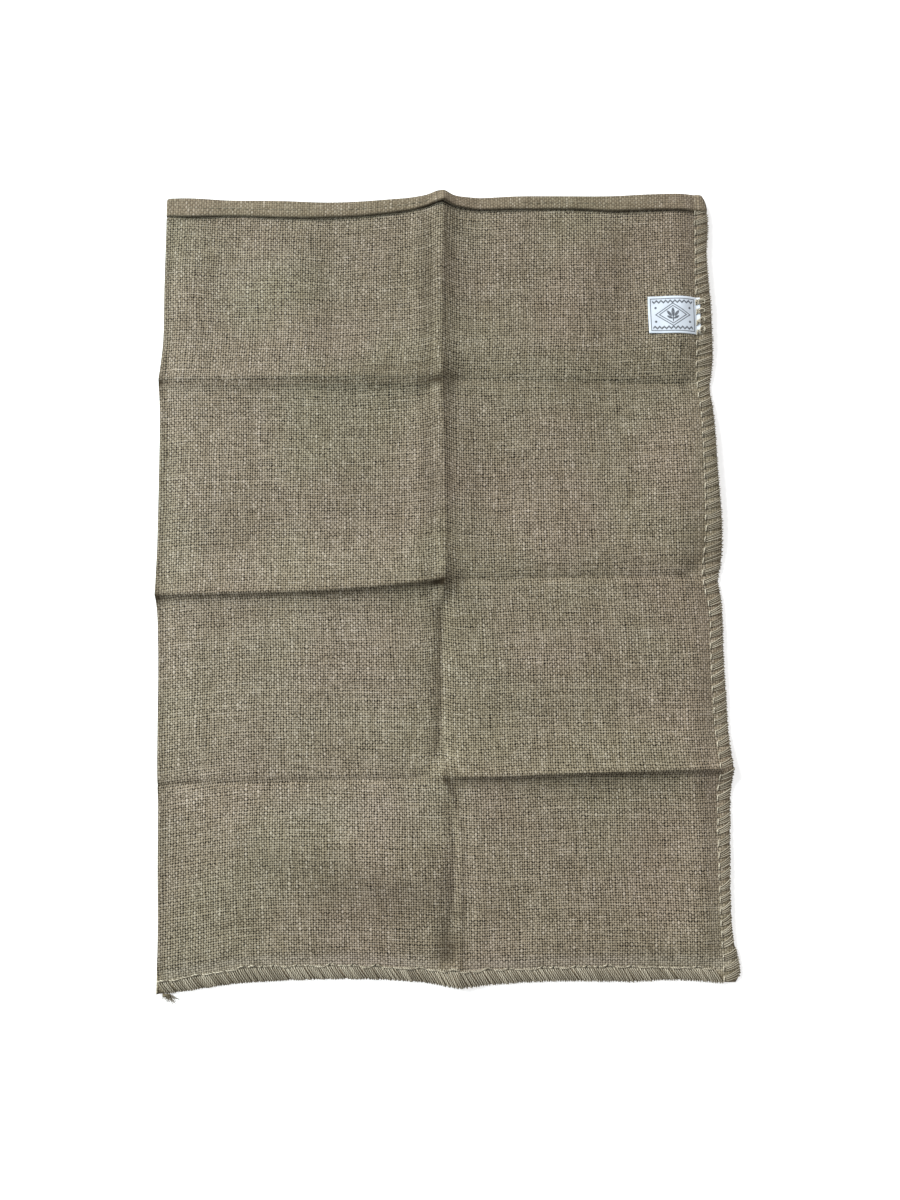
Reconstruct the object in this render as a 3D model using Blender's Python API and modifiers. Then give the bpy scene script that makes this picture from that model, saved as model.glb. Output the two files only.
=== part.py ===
"""An empty jute sack lying flat on a table, opened out from the square it was packed in.

The sack is one length of hessian folded down its left side, oversewn down the right side and along the
bottom, and hemmed outward round the mouth. Packing it left one long crease and three cross creases: where
a crease stands up both layers ride over it, and where it dips both layers touch the table.

The tables are in millimetres, with x across the sack, y towards the mouth and z up. The model is in
metres, and stands with the middle of its underside at the origin.
"""

from collections import namedtuple

import bmesh
import bpy
import numpy as np
from mathutils import Vector

MM = 0.001

# ---- Driving dimensions, mm ------------------------------------------------------------------------
CLOTH = 1.1  # one layer of hessian
HEM_TURN = 1.9  # what the two turned-in layers of the hem add outside the cloth
AIR_MOUTH = 5.2  # air between the hems, where the mouth stands a little open
AIR_PANEL = 4.6  # air between the layers in the other panels
AIR_CREASE = 0.8  # air left between the layers along a crease
AIR_SEAM = 0.4  # air left between the layers where they are sewn together
AIR_REACH = 32.0  # how far from a crease the layers take to part fully
HEM_RELIEF = 26.0  # the back layer comes down off its hem over this length
LIP_THICK = 4.4  # the oversewn edges, both layers and their twine
LIP_HEM_TURN = 1.6  # what the hem adds to the lip where it is sewn into it
LIP_AT_STITCH = 3.4  # the same where the twine pulls them in
FOLD_ROOM = 5.0  # the rounding of the left fold takes this much of the panel
SEAM_INSET = 0.8  # the cavity stops this far inside the line of stitches
LIFT_REACH = 62.0  # how far in from the right edge the lifted edge starts to rise
LIFT_EASE = 1.6  # the power with which it rises from there to the edge
LIFT_FULLNESS = 0.9  # the power of its arch along the edge: less is fuller
RIDGE_REACH = 36.0  # how far the long crease lifts the back layer to either side
RIDGE_POWER = 1.7  # how sharply a standing crease falls off: 1 is straight
AIR_AT_FOLD = 0.45  # the share of the air that the rounded left fold keeps
SEAM_POWER = 8  # the least air changes from the creases' to the seam's only close to the seam

LABEL_THICK = 1.0
LABEL_GAP = 0.7  # between the label and the cloth below it
LABEL_LEFT, LABEL_RIGHT = 190.0, 246.5  # the label runs from the panel to the far side of the lip
LABEL_TOP, LABEL_BOTTOM = 253.0, 218.5

LABEL_CELLS = (10, 6)

TAIL_ROOT = (-243.5, -363.6)  # the middle of the knot at the corner
TAIL_RADIUS = 1.7
TAIL_LENGTH = 7.0
STRAND_STEPS = 4
STRAND_CURL = 0.18  # how far a strand's end strays sideways, as a share of its length
STRAND_TAPER = 0.55  # the share of its thickness a strand loses by its end
STRAND_FLAT = 0.6  # a strand's section reaches this share of its radius below its middle
Strand = namedtuple("Strand", "heading length thick from_root")
STRANDS = (
    Strand(-128.0, 5.0, 0.45, -1.6),
    Strand(-96.0, 4.2, 0.50, -0.6),
    Strand(-64.0, 5.2, 0.45, 0.4),
    Strand(-34.0, 6.5, 0.50, 1.2),
    Strand(-10.0, 9.0, 0.50, 1.8),
    Strand(12.0, 7.0, 0.45, 2.2),
    Strand(-160.0, 6.0, 0.45, -2.0),
)

# ---- The sack's lines ------------------------------------------------------------------------------
# Stations across the sack: 0 is the left fold, 1 the long crease, 2 the line of stitches. Each line is given
# as (station, y).
LINES = {
    "mouth": (
        (0, 350.4), (0.06, 350.4), (0.22, 347.6), (0.42, 345.8), (0.58, 344.3), (0.8, 347), (0.93, 350.3),
        (1, 354.2), (1.04, 350.2), (1.1, 348.8), (1.3, 349.6), (1.7, 349), (1.8, 350.2), (2, 352.2),
    ),
    "hem": (
        (0, 333.7), (0.06, 332.4), (0.22, 332.9), (0.42, 329.8), (0.58, 329.8), (0.8, 333.6), (0.93, 338.6),
        (1, 342.3), (1.04, 339.6), (1.1, 337.8), (1.3, 337.2), (1.5, 336.8), (1.7, 334.5), (1.8, 335.2),
        (2, 335.8),
    ),
    "crease_1": ((0, 179.5), (0.3, 178.5), (0.6, 178.2), (1, 178.2), (1.5, 175.3), (2, 172.2)),
    "crease_2": ((0, -16.8), (0.3, -15.9), (0.6, -14.5), (1, -6), (1.5, -4.3), (2, -4.7)),
    "crease_3": ((0, -182.4), (0.3, -181.2), (0.6, -179.8), (1, -180), (1.5, -177.6), (2, -176.1)),
    "stitches": ((0, -350.8), (0.3, -340), (0.6, -339.5), (1, -345), (1.5, -344.5), (2, -347.5)),
    "edge": (
        (0, -362), (0.06, -360.8), (0.13, -358.6), (0.2, -356), (0.4, -352.8), (0.62, -352), (0.82, -354.6),
        (0.92, -357.6), (1, -361), (1.1, -359.8), (1.3, -357.4), (1.55, -358.3), (1.65, -359.2), (1.8, -357.9),
        (1.93, -359.8), (2, -361.6),
    ),
}

# How high each cross crease lifts the back layer, left and right of the long crease. A crease that
# stands up on one side dips on the other, because the sack was folded in half before it was rolled up.
Crease = namedtuple("Crease", "left_fold left_mid left_end right_end right_mid right_seam above below")
CREASES = {
    "crease_1": Crease(5.0, 7.0, 9.0, 0.0, 0.0, 0.0, 34.0, 30.0),
    "crease_2": Crease(7.0, 9.0, 9.0, 0.0, 0.0, 0.0, 44.0, 24.0),
    "crease_3": Crease(0.0, 0.0, 0.0, 8.0, 9.5, 8.0, 46.0, 22.0),
}

# Down the sack, as (y, x): where the left fold, the long crease, the stitches and the right edge lie, and as
# (y, height) how high the long crease lifts the back layer.
DOWN = {
    "fold": (
        (352, -252.3), (338, -252.5), (322, -253), (270, -254), (213, -254.6), (178, -257.3), (150, -256.6),
        (90, -256.6), (30, -257.1), (-8, -257.4), (-34, -256), (-70, -254.8), (-130, -254.4), (-162, -254.3),
        (-180, -254), (-200, -253), (-219, -252.8), (-255, -252.5), (-290, -251.8), (-325, -251.6),
        (-348, -252.4), (-363, -252.4),
    ),
    "crease": (
        (352, 4), (338, 3), (322, 3), (270, 1.5), (213, 0.8), (178, 0.2), (150, 0.8), (90, 1.5), (30, 1.4),
        (-8, 0.3), (-34, -2.5), (-70, -3.2), (-130, -4), (-162, -4.6), (-180, -3.4), (-200, 2), (-219, 9),
        (-255, 11), (-290, 13), (-325, 9.5), (-348, 7.5), (-363, 7),
    ),
    "seam": (
        (352, 237.5), (338, 237.6), (322, 237.2), (270, 235.5), (213, 234.8), (178, 234.3), (150, 236),
        (90, 236.2), (30, 235.4), (-8, 232.8), (-34, 236.6), (-70, 236.2), (-130, 237.4), (-162, 239.2),
        (-180, 239.7), (-200, 237.8), (-219, 237), (-255, 236), (-290, 235.5), (-325, 236.1), (-348, 237),
        (-363, 236.5),
    ),
    "edge": (
        (352, 245.4), (346, 248.9), (338, 250.6), (328, 251.9), (316, 251.3), (296, 249), (270, 249.8),
        (245, 251.3), (213, 251.9), (196, 252.1), (185, 250.7), (167, 247.9), (150, 249.4), (90, 251),
        (30, 253.4), (5, 251.8), (-10, 248.6), (-22, 249.8), (-40, 250.5), (-70, 249.8), (-130, 251.4),
        (-162, 252.2), (-180, 253.2), (-200, 251.4), (-219, 250), (-255, 248), (-290, 246.7), (-325, 248.4),
        (-340, 252.4), (-347, 253.6), (-354, 252.6), (-358.5, 250), (-362, 246),
    ),
    "rise": (
        (352, 8.5), (338, 10.5), (322, 11.5), (270, 11), (213, 10), (178, 10), (150, 8), (90, 7), (30, 7),
        (-8, 9.5), (-34, 1.5), (-70, 0), (-130, 0), (-162, 2.5), (-180, 9), (-200, 3.5), (-219, 1.5), (-255, 1),
        (-290, 2.5), (-325, 3.5), (-348, 4.5), (-363, 4.5),
    ),
}

# The right edge hangs clear of the table between the creases.
Lift = namedtuple("Lift", "top bottom height")
LIFTS = (
    Lift(352.0, 172.0, 5.0),
    Lift(172.0, -4.0, 6.0),
    Lift(-4.0, -150.0, 2.5),
    Lift(-205.0, -362.0, 2.5),
)

# ---- How the grid is graded ------------------------------------------------------------------------
GRADE_ACROSS = (0.0, 0.022, 0.07, 0.15, 0.28, 0.43, 0.58, 0.73, 0.86, 0.935, 0.98, 1.0)
GRADE_DOWN = (0.0, 0.028, 0.09, 0.2, 0.38, 0.57, 0.76, 0.89, 0.97, 1.0)
GRADE_HEM = ((0.0, 0.6), (0.12, 1.0), (0.5, 1.0), (0.96, 1.0))  # (share of its depth, of its thickness)
BANDS = ("hem", "crease_1", "crease_2", "crease_3", "stitches")
FOLD_ANGLES = (135.0, 90.0, 45.0)  # from the lower face round to the upper one

# The right lip from the stitches over its crown and back under: (share of its width, of its thickness).
LIP_PROFILE = ((0.25, 1.0), (0.75, 1.0), (1.0, 0.72), (1.0, 0.25), (0.85, 0.0), (0.25, 0.0))
# The bottom lip, outward from the stitches: (share of its width, its top, its underside).
BOTTOM_PROFILE = ((0.3, 1.0, 0.0), (0.8, 1.0, 0.0), (1.0, 0.72, 0.25))

# ---- Colours, as linear values ---------------------------------------------------------------------
HESSIAN_COLOUR = (0.28, 0.235, 0.17, 1.0)
LABEL_COLOUR = (0.80, 0.82, 0.84, 1.0)
TWINE_COLOUR = (0.33, 0.28, 0.21, 1.0)


def smooth_curve(at, xs, ys):
    """A Catmull-Rom curve through the points, read at one place."""
    order = np.argsort(xs)
    xs, ys = np.asarray(xs, float)[order], np.asarray(ys, float)[order]
    slopes = np.gradient(ys, xs)
    at = min(max(at, xs[0]), xs[-1])
    i = int(min(np.searchsorted(xs, at, side="right") - 1, len(xs) - 2))
    span = xs[i + 1] - xs[i]
    t = (at - xs[i]) / span
    return float(
        (2 * t**3 - 3 * t**2 + 1) * ys[i]
        + (t**3 - 2 * t**2 + t) * span * slopes[i]
        + (3 * t**2 - 2 * t**3) * ys[i + 1]
        + (t**3 - t**2) * span * slopes[i + 1]
    )


def down(y, column):
    """One column of the table DOWN, at any y."""
    ys, values = zip(*DOWN[column])
    if column == "rise":
        return float(np.interp(y, ys[::-1], values[::-1]))
    return smooth_curve(y, ys, values)


def line_y(name, station):
    """How far up the sack one of its lines lies at that station."""
    return smooth_curve(station, *zip(*LINES[name]))


def station_of(x, y):
    """The station, from 0 to 2, of a place on the sack."""
    fold, crease, seam = (down(y, column) for column in ("fold", "crease", "seam"))
    if x < crease:
        return max(0.0, (x - fold) / (crease - fold))
    return min(2.0, 1.0 + (x - crease) / (seam - crease))


def part_off(distance, reach):
    """0 on a crease, rising to 1 at its reach."""
    t = min(abs(distance) / reach, 1.0)
    return 1.0 - (1.0 - t) ** 2


def slope_off(distance, reach):
    """1 on a standing crease, falling to 0 at its reach."""
    t = min(abs(distance) / reach, 1.0)
    return (1.0 - t) ** RIDGE_POWER


def crease_rise(name, station):
    """How high a cross crease lifts the back layer at a station."""
    row = CREASES[name]
    if station < 1.0:
        return float(np.interp(station, (0.0, 0.5, 1.0), (row.left_fold, row.left_mid, row.left_end)))
    return float(np.interp(station, (1.0, 1.5, 2.0), (row.right_end, row.right_mid, row.right_seam)))


def ridges(x, y):
    """How far the standing creases lift the back layer off the table."""
    station = station_of(x, y)
    heights = [down(y, "rise") * slope_off(x - down(y, "crease"), RIDGE_REACH)]
    for name, row in CREASES.items():
        away = y - line_y(name, station)
        heights.append(crease_rise(name, station) * slope_off(away, row.above if away > 0 else row.below))
    return max(heights)


def edge_lift(x, y):
    """How far the right edge hangs clear of the table."""
    inward = (x - down(y, "seam") + LIFT_REACH) / LIFT_REACH
    if inward <= 0.0:
        return 0.0
    ease = min(inward, 1.0) ** LIFT_EASE
    for lift in LIFTS:
        if lift.bottom < y < lift.top:
            along = (lift.top - y) / (lift.top - lift.bottom)
            return lift.height * ease * np.sin(np.pi * along) ** LIFT_FULLNESS
    return 0.0


def hem_relief(y, station):
    """How far the back layer stands over the table because its hem is turned under it."""
    past = line_y("hem", station) - y
    if past <= 0.0:
        return HEM_TURN
    return HEM_TURN * (1.0 - min(past / HEM_RELIEF, 1.0)) ** 2


def underside(x, y):
    """The height of the back layer's lower face, without the hem."""
    return max(ridges(x, y), edge_lift(x, y)) + hem_relief(y, station_of(x, y))


def air(x, y):
    """The air between the two layers."""
    station = station_of(x, y)
    most = AIR_PANEL
    if y > line_y("crease_1", station):
        most = AIR_MOUTH + HEM_TURN - hem_relief(y, station)
    fullness = part_off(x - down(y, "crease"), AIR_REACH)
    fullness *= part_off(x - down(y, "seam"), AIR_REACH)
    from_fold = part_off(max(x - down(y, "fold") - FOLD_ROOM, 0.0), AIR_REACH)
    fullness *= AIR_AT_FOLD + (1.0 - AIR_AT_FOLD) * from_fold
    for name in ("crease_1", "crease_2", "crease_3", "stitches"):
        fullness *= part_off(y - line_y(name, station), AIR_REACH)
    least = AIR_CREASE + (AIR_SEAM - AIR_CREASE) * (station / 2.0) ** SEAM_POWER
    return least + (most - least) * fullness


def upper_face(x, y):
    """The height of the front layer's upper face, without the hem."""
    return underside(x, y) + 2.0 * CLOTH + air(x, y)


def stations():
    """The grid's stations, close together by the fold, the long crease and the stitches."""
    return list(GRADE_ACROSS) + [1.0 + step for step in GRADE_ACROSS[1:]]


def place(station, y, rounding):
    """x at a station, where the left fold's own rounding comes off the left panel."""
    fold, crease, seam = (down(y, column) for column in ("fold", "crease", "seam"))
    if station < 1.0:
        return fold + rounding + (crease - fold - rounding) * station
    return crease + (seam - crease) * (station - 1.0)


def ring(ys, upper, lower, wall=0.0, lip=()):
    """One closed ring across the sack: upper face, right lip, lower face, left fold.

    ys gives y at each station, upper and lower the heights of the two faces at (x, y, station), and
    wall how far the ring lies inside the cloth's outside.
    """
    left, y_left = down(ys[0], "fold"), ys[0]
    high, low = upper(left + FOLD_ROOM, y_left, 0.0), lower(left + FOLD_ROOM, y_left, 0.0)
    half, middle = (high - low) / 2.0, (high + low) / 2.0
    spots = [(place(station, y, wall + half), y, station) for station, y in zip(stations(), ys)]
    if wall:
        x, y, station = spots[-1]
        spots[-1] = (x - SEAM_INSET, y, station)
    top = [(x, y, upper(x, y, station)) for x, y, station in spots]
    bottom = [(x, y, lower(x, y, station)) for x, y, station in spots]
    turns = [np.radians(angle) for angle in FOLD_ANGLES]
    rounding = [(left + wall + half * (1.0 - np.sin(a)), y_left, middle + half * np.cos(a)) for a in turns]
    return top + list(lip) + bottom[::-1] + rounding


def right_lip(y, profile, hem=0.0):
    """The oversewn right edge at y. profile is the lip's section, as in LIP_PROFILE."""
    seam, edge = down(y, "seam"), down(y, "edge")
    low = underside(seam, y) - hem * HEM_TURN
    thick = LIP_THICK + hem * LIP_HEM_TURN
    return [(seam + share * (edge - seam), y, low + height * thick) for share, height in profile]


def outer_ring(above, below, share, hem):
    """A ring of the sack's outside. hem is how much of the hem's thickness it carries."""
    ys = [line_y(above, s) + (line_y(below, s) - line_y(above, s)) * share for s in stations()]

    def upper(x, y, station):
        at_stitches = station == 2.0 and not hem
        height = underside(x, y) + LIP_AT_STITCH if at_stitches else upper_face(x, y)
        return height + hem * HEM_TURN

    def lower(x, y, _):
        return underside(x, y) - hem * HEM_TURN

    return ring(ys, upper, lower, lip=right_lip(ys[-1], LIP_PROFILE, hem))


def lip_ring(share, profile_top, profile_low):
    """A ring of the bottom lip, where the layers are sewn into one."""
    ys = [line_y("stitches", s) + (line_y("edge", s) - line_y("stitches", s)) * share for s in stations()]

    def upper(x, y, _):
        return underside(x, y) + profile_top * LIP_THICK

    def lower(x, y, _):
        return underside(x, y) + profile_low * LIP_THICK

    profile = [(across, min(max(height, profile_low), profile_top)) for across, height in LIP_PROFILE]
    return ring(ys, upper, lower, lip=right_lip(ys[-1], profile))


def inner_ring(above, below, share, hem, inset=0.0):
    """A ring of the cavity's wall, one layer of cloth inside the outside."""
    ys = [line_y(above, s) + (line_y(below, s) - line_y(above, s)) * share + inset for s in stations()]

    def upper(x, y, station):
        return underside(x, y) + CLOTH + air(x, y)

    def lower(x, y, _):
        return underside(x, y) + CLOTH

    return ring(ys, upper, lower, wall=CLOTH + hem * HEM_TURN)


def rows():
    """The grid's rows as (line above, line below, share of the way down, share of the hem's turn)."""
    found = [("mouth", "hem", share, turn) for share, turn in GRADE_HEM]
    for above, below in zip(BANDS, BANDS[1:]):
        found += [(above, below, share, 0.0) for share in GRADE_DOWN[:-1]]
    return found + [("crease_3", "stitches", 1.0, 0.0)]


# ---- Meshes ----------------------------------------------------------------------------------------
def skin(bm, rings):
    """Lofts successive rings of equal length, and returns their vertices."""
    loops = [[bm.verts.new(Vector(point) * MM) for point in points] for points in rings]
    for first, second in zip(loops, loops[1:]):
        for i, vert in enumerate(first):
            j = (i + 1) % len(first)
            bm.faces.new((vert, first[j], second[j], second[i]))
    return loops


def close_end(bm, loop, lip):
    """Closes a flat ring between its upper and lower faces, its lip and its left fold."""
    count = len(stations())
    upper, lower = loop[:count], loop[count + lip : 2 * count + lip][::-1]
    for i in range(count - 1):
        bm.faces.new((upper[i], upper[i + 1], lower[i + 1], lower[i]))
    bm.faces.new([upper[0], *loop[2 * count + lip :][::-1], lower[0]])
    if lip:
        bm.faces.new([upper[-1], *loop[count : count + lip], lower[-1]])


def join_mouth(bm, outside, inside, lip):
    """The rim of the mouth, from the outside ring to the cavity's first ring."""
    count = len(stations())
    lip_face = outside[count - 1 : count + lip + 1]
    bare = outside[:count] + outside[count + lip :]
    for i, vert in enumerate(bare):
        j = (i + 1) % len(bare)
        if i != count - 1:
            bm.faces.new((vert, bare[j], inside[j], inside[i]))
    bm.faces.new([*lip_face, inside[count], inside[count - 1]])


def finish(name, bm, colour, roughness, collection):
    """Makes the object, with its own material."""
    bmesh.ops.recalc_face_normals(bm, faces=bm.faces)
    if bm.calc_volume(signed=True) < 0.0:
        bmesh.ops.reverse_faces(bm, faces=bm.faces)
    mesh = bpy.data.meshes.new(name)
    bm.to_mesh(mesh)
    bm.free()
    mesh.shade_smooth()
    mesh.set_sharp_from_angle(angle=np.radians(40.0))
    material = bpy.data.materials.new(name + "_cloth")
    material.use_nodes = True
    shader = material.node_tree.nodes["Principled BSDF"]
    shader.inputs["Base Color"].default_value = colour
    shader.inputs["Roughness"].default_value = roughness
    mesh.materials.append(material)
    obj = bpy.data.objects.new(name, mesh)
    collection.objects.link(obj)
    return obj


def make_sack(collection):
    """The cloth: folded on the left, sewn on the right and at the bottom, open at the mouth."""
    bm = bmesh.new()
    bottom_lip = [lip_ring(*profile) for profile in BOTTOM_PROFILE]
    outside = skin(bm, [outer_ring(*row) for row in rows()] + bottom_lip)
    wall = [inner_ring(*row) for row in rows()[:-1]]
    inside = skin(bm, wall + [inner_ring(*rows()[-1], inset=SEAM_INSET)])
    close_end(bm, outside[-1], len(LIP_PROFILE))
    close_end(bm, inside[-1], 0)
    join_mouth(bm, outside[0], inside[0], len(LIP_PROFILE))
    return finish("sack", bm, HESSIAN_COLOUR, 0.95, collection)


def top_at(x, y):
    """The height of what shows from above at a place: the front layer, or the lip past the stitches."""
    seam = down(y, "seam")
    if x < seam - AIR_REACH * 0.5:
        return upper_face(x, y)
    return max(upper_face(min(x, seam), y), underside(min(x, seam), y) + LIP_THICK)


def make_label(collection):
    """The woven label: it lies on the front layer, and its end runs over the lip under the twine."""
    bm = bmesh.new()
    bmesh.ops.create_grid(bm, x_segments=LABEL_CELLS[0], y_segments=LABEL_CELLS[1], size=0.5)
    for vert in bm.verts:
        x = LABEL_LEFT + (vert.co.x + 0.5) * (LABEL_RIGHT - LABEL_LEFT)
        y = LABEL_BOTTOM + (vert.co.y + 0.5) * (LABEL_TOP - LABEL_BOTTOM)
        vert.co = Vector((x, y, top_at(x, y) + LABEL_GAP)) * MM
    label = finish("label", bm, LABEL_COLOUR, 0.8, collection)
    thickness = label.modifiers.new("thickness", "SOLIDIFY")
    thickness.thickness = LABEL_THICK * MM
    thickness.offset = 1.0
    return label


def strand(bm, start, heading, length, thick):
    """One loose strand of twine: a three-sided taper that bends level onto the table."""
    side = Vector((-np.sin(heading), np.cos(heading), 0.0))
    sections = []
    for step in range(STRAND_STEPS + 1):
        share = step / STRAND_STEPS
        along = Vector((np.cos(heading), np.sin(heading), 0.0)) * length * share
        drift = side * length * STRAND_CURL * share**2
        radius = thick * (1.0 - STRAND_TAPER * share)
        centre = Vector(start) + along + drift
        centre.z = radius + (start[2] - radius) * (1.0 - share) ** 2
        corners = [(0.0, radius), (radius, -STRAND_FLAT * radius), (-radius, -STRAND_FLAT * radius)]
        sections.append([bm.verts.new((centre + side * u + Vector((0, 0, v))) * MM) for u, v in corners])
    for first, second in zip(sections, sections[1:]):
        for i in range(3):
            j = (i + 1) % 3
            bm.faces.new((first[i], first[j], second[j], second[i]))
    bm.faces.new(sections[0])
    bm.faces.new(sections[-1])


def make_tail(collection):
    """The frayed end of the seam twine: a knot with loose strands spread on the table."""
    bm = bmesh.new()
    bmesh.ops.create_uvsphere(bm, u_segments=10, v_segments=6, radius=TAIL_RADIUS * MM)
    for vert in bm.verts:
        vert.co.x *= TAIL_LENGTH / (2.0 * TAIL_RADIUS)
        vert.co += Vector((*TAIL_ROOT, TAIL_RADIUS)) * MM
    tail = finish("seam_tail", bm, TWINE_COLOUR, 0.95, collection)
    for number, row in enumerate(STRANDS):
        bm = bmesh.new()
        start = (TAIL_ROOT[0] + row.from_root, TAIL_ROOT[1], TAIL_RADIUS)
        strand(bm, start, np.radians(row.heading), row.length, row.thick)
        piece = finish(f"strand_{number}", bm, TWINE_COLOUR, 0.95, collection)
        join(tail, piece)
    return tail


def join(body, piece):
    """Joins a piece to a body as one solid, and removes the piece."""
    union = body.modifiers.new("union", "BOOLEAN")
    union.operation = "UNION"
    union.object = piece
    bpy.context.view_layer.update()
    joined = bpy.data.meshes.new_from_object(body.evaluated_get(bpy.context.evaluated_depsgraph_get()))
    body.modifiers.remove(union)
    body.data = joined
    bpy.data.objects.remove(piece)


def stand_on_origin(objects):
    """Moves the objects together, so that the middle of their underside is the origin."""
    bpy.context.view_layer.update()
    corners = [obj.matrix_world @ Vector(corner) for obj in objects for corner in obj.bound_box]
    low = Vector([min(corner[axis] for corner in corners) for axis in range(3)])
    high = Vector([max(corner[axis] for corner in corners) for axis in range(3)])
    shift = Vector(((low.x + high.x) / 2.0, (low.y + high.y) / 2.0, low.z))
    for obj in objects:
        obj.location -= shift


def main():
    """Clears the scene and builds the sack, its label and its loose twine."""
    for obj in list(bpy.data.objects):
        bpy.data.objects.remove(obj)
    collection = bpy.data.collections.new("jute_sack")
    bpy.context.scene.collection.children.link(collection)
    stand_on_origin([make_sack(collection), make_label(collection), make_tail(collection)])


main()
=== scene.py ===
"""The looks of an empty jute sack that lies flat, opened out from the square it was packed in.

The sack is one length of hessian, folded down its left side, oversewn with jute twine down the right side
and along the bottom, and hemmed outward round the mouth. A small printed label is caught in the side seam.

Lengths are millimetres until a mesh is finished, with x across the sack, y towards the mouth and z up.
"""

import logging
from abc import ABC, abstractmethod
from collections.abc import Callable, Iterable, Sequence
from dataclasses import dataclass
from enum import Enum
from functools import partial
from typing import ClassVar, NamedTuple

import bmesh
import bpy
import numpy as np
from mathutils import Euler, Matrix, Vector


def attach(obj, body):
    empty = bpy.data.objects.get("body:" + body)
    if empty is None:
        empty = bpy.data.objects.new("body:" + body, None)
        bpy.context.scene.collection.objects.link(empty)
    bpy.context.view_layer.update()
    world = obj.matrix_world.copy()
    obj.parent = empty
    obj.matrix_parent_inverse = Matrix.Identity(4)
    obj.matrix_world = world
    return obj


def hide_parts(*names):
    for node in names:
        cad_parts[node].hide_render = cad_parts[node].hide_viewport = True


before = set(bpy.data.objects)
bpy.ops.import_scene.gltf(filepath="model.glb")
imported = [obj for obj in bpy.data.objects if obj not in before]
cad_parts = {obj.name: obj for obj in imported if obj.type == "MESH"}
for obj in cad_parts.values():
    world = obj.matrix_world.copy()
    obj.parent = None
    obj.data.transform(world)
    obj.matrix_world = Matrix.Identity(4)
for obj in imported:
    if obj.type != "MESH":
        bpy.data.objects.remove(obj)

logging.basicConfig(level=logging.INFO, format="%(message)s")
log = logging.getLogger("jute_sack")

Array = np.ndarray
Tree = bpy.types.ShaderNodeTree
Object = bpy.types.Object
Material = bpy.types.Material
Node = bpy.types.Node
Socket = bpy.types.NodeSocket
AddNode = Callable[..., Node]
Dice = np.random.Generator

MM = 0.001
BODY = "root"
SEED = 20
# From the tables' own origin to the frame's, which is under the middle of the whole sack.
TO_FRAME = np.array([1.95, 7.009, 0.0])

# ---- The sack's lines, mm --------------------------------------------------------------------------
# Stations across the sack: 0 is the left fold, 1 the long crease, 2 the line of stitches. Each line is given
# as (station, y).
LINES = {
    "mouth": (
        (0, 350.4), (0.06, 350.4), (0.22, 347.6), (0.42, 345.8), (0.58, 344.3), (0.8, 347), (0.93, 350.3),
        (1, 354.2), (1.04, 350.2), (1.1, 348.8), (1.3, 349.6), (1.7, 349), (1.8, 350.2), (2, 352.2),
    ),
    "hem": (
        (0, 333.7), (0.06, 332.4), (0.22, 332.9), (0.42, 329.8), (0.58, 329.8), (0.8, 333.6),
        (0.93, 338.6), (1, 342.3), (1.04, 339.6), (1.1, 337.8), (1.3, 337.2), (1.5, 336.8), (1.7, 334.5),
        (1.8, 335.2), (2, 335.8),
    ),
    "crease_1": ((0, 179.5), (0.3, 178.5), (0.6, 178.2), (1, 178.2), (1.5, 175.3), (2, 172.2)),
    "crease_2": ((0, -16.8), (0.3, -15.9), (0.6, -14.5), (1, -6), (1.5, -4.3), (2, -4.7)),
    "crease_3": ((0, -182.4), (0.3, -181.2), (0.6, -179.8), (1, -180), (1.5, -177.6), (2, -176.1)),
    "stitches": ((0, -350.8), (0.3, -340), (0.6, -339.5), (1, -345), (1.5, -344.5), (2, -347.5)),
    "edge": (
        (0, -362), (0.06, -360.8), (0.13, -358.6), (0.2, -356), (0.4, -352.8), (0.62, -352),
        (0.82, -354.6), (0.92, -357.6), (1, -361), (1.1, -359.8), (1.3, -357.4), (1.55, -358.3),
        (1.65, -359.2), (1.8, -357.9), (1.93, -359.8), (2, -361.6),
    ),
}
# How far up the sack the columns of the table below are read.
PLACES = (
    352, 338, 322, 270, 213, 178, 150, 90, 30, -8, -34, -70, -130, -162, -180, -200, -219, -255, -290,
    -325, -348, -363,
)  # fmt: skip
# Down the sack, as places and values: where the left fold, the long crease, the stitches and the right
# edge lie across it, and how high the long crease lifts the back layer.
DOWN = {
    "fold": (PLACES, (
        -252.3, -252.5, -253, -254, -254.6, -257.3, -256.6, -256.6, -257.1, -257.4, -256, -254.8, -254.4,
        -254.3, -254, -253, -252.8, -252.5, -251.8, -251.6, -252.4, -252.4,
    )),
    "crease": (PLACES, (
        4, 3, 3, 1.5, 0.8, 0.2, 0.8, 1.5, 1.4, 0.3, -2.5, -3.2, -4, -4.6, -3.4, 2, 9, 11, 13, 9.5, 7.5, 7,
    )),
    "seam": (PLACES, (
        237.5, 237.6, 237.2, 235.5, 234.8, 234.3, 236, 236.2, 235.4, 232.8, 236.6, 236.2, 237.4, 239.2,
        239.7, 237.8, 237, 236, 235.5, 236.1, 237, 236.5,
    )),
    "rise": (PLACES, (
        8.5, 10.5, 11.5, 11, 10, 10, 8, 7, 7, 9.5, 1.5, 0, 0, 2.5, 9, 3.5, 1.5, 1, 2.5, 3.5, 4.5, 4.5,
    )),
    "edge": ((
        352, 346, 338, 328, 316, 296, 270, 245, 213, 196, 185, 167, 150, 90, 30, 5, -10, -22, -40, -70,
        -130, -162, -180, -200, -219, -255, -290, -325, -340, -347, -354, -358.5, -362,
    ), (
        245.4, 248.9, 250.6, 251.9, 251.3, 249, 249.8, 251.3, 251.9, 252.1, 250.7, 247.9, 249.4, 251,
        253.4, 251.8, 248.6, 249.8, 250.5, 249.8, 251.4, 252.2, 253.2, 251.4, 250, 248, 246.7, 248.4,
        252.4, 253.6, 252.6, 250, 246,
    )),
}  # fmt: skip


class CrossCrease(NamedTuple):
    """How high a cross crease lifts the back layer at six places across, and its reach up and down."""

    heights: tuple[float, ...]
    above: float
    below: float


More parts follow.
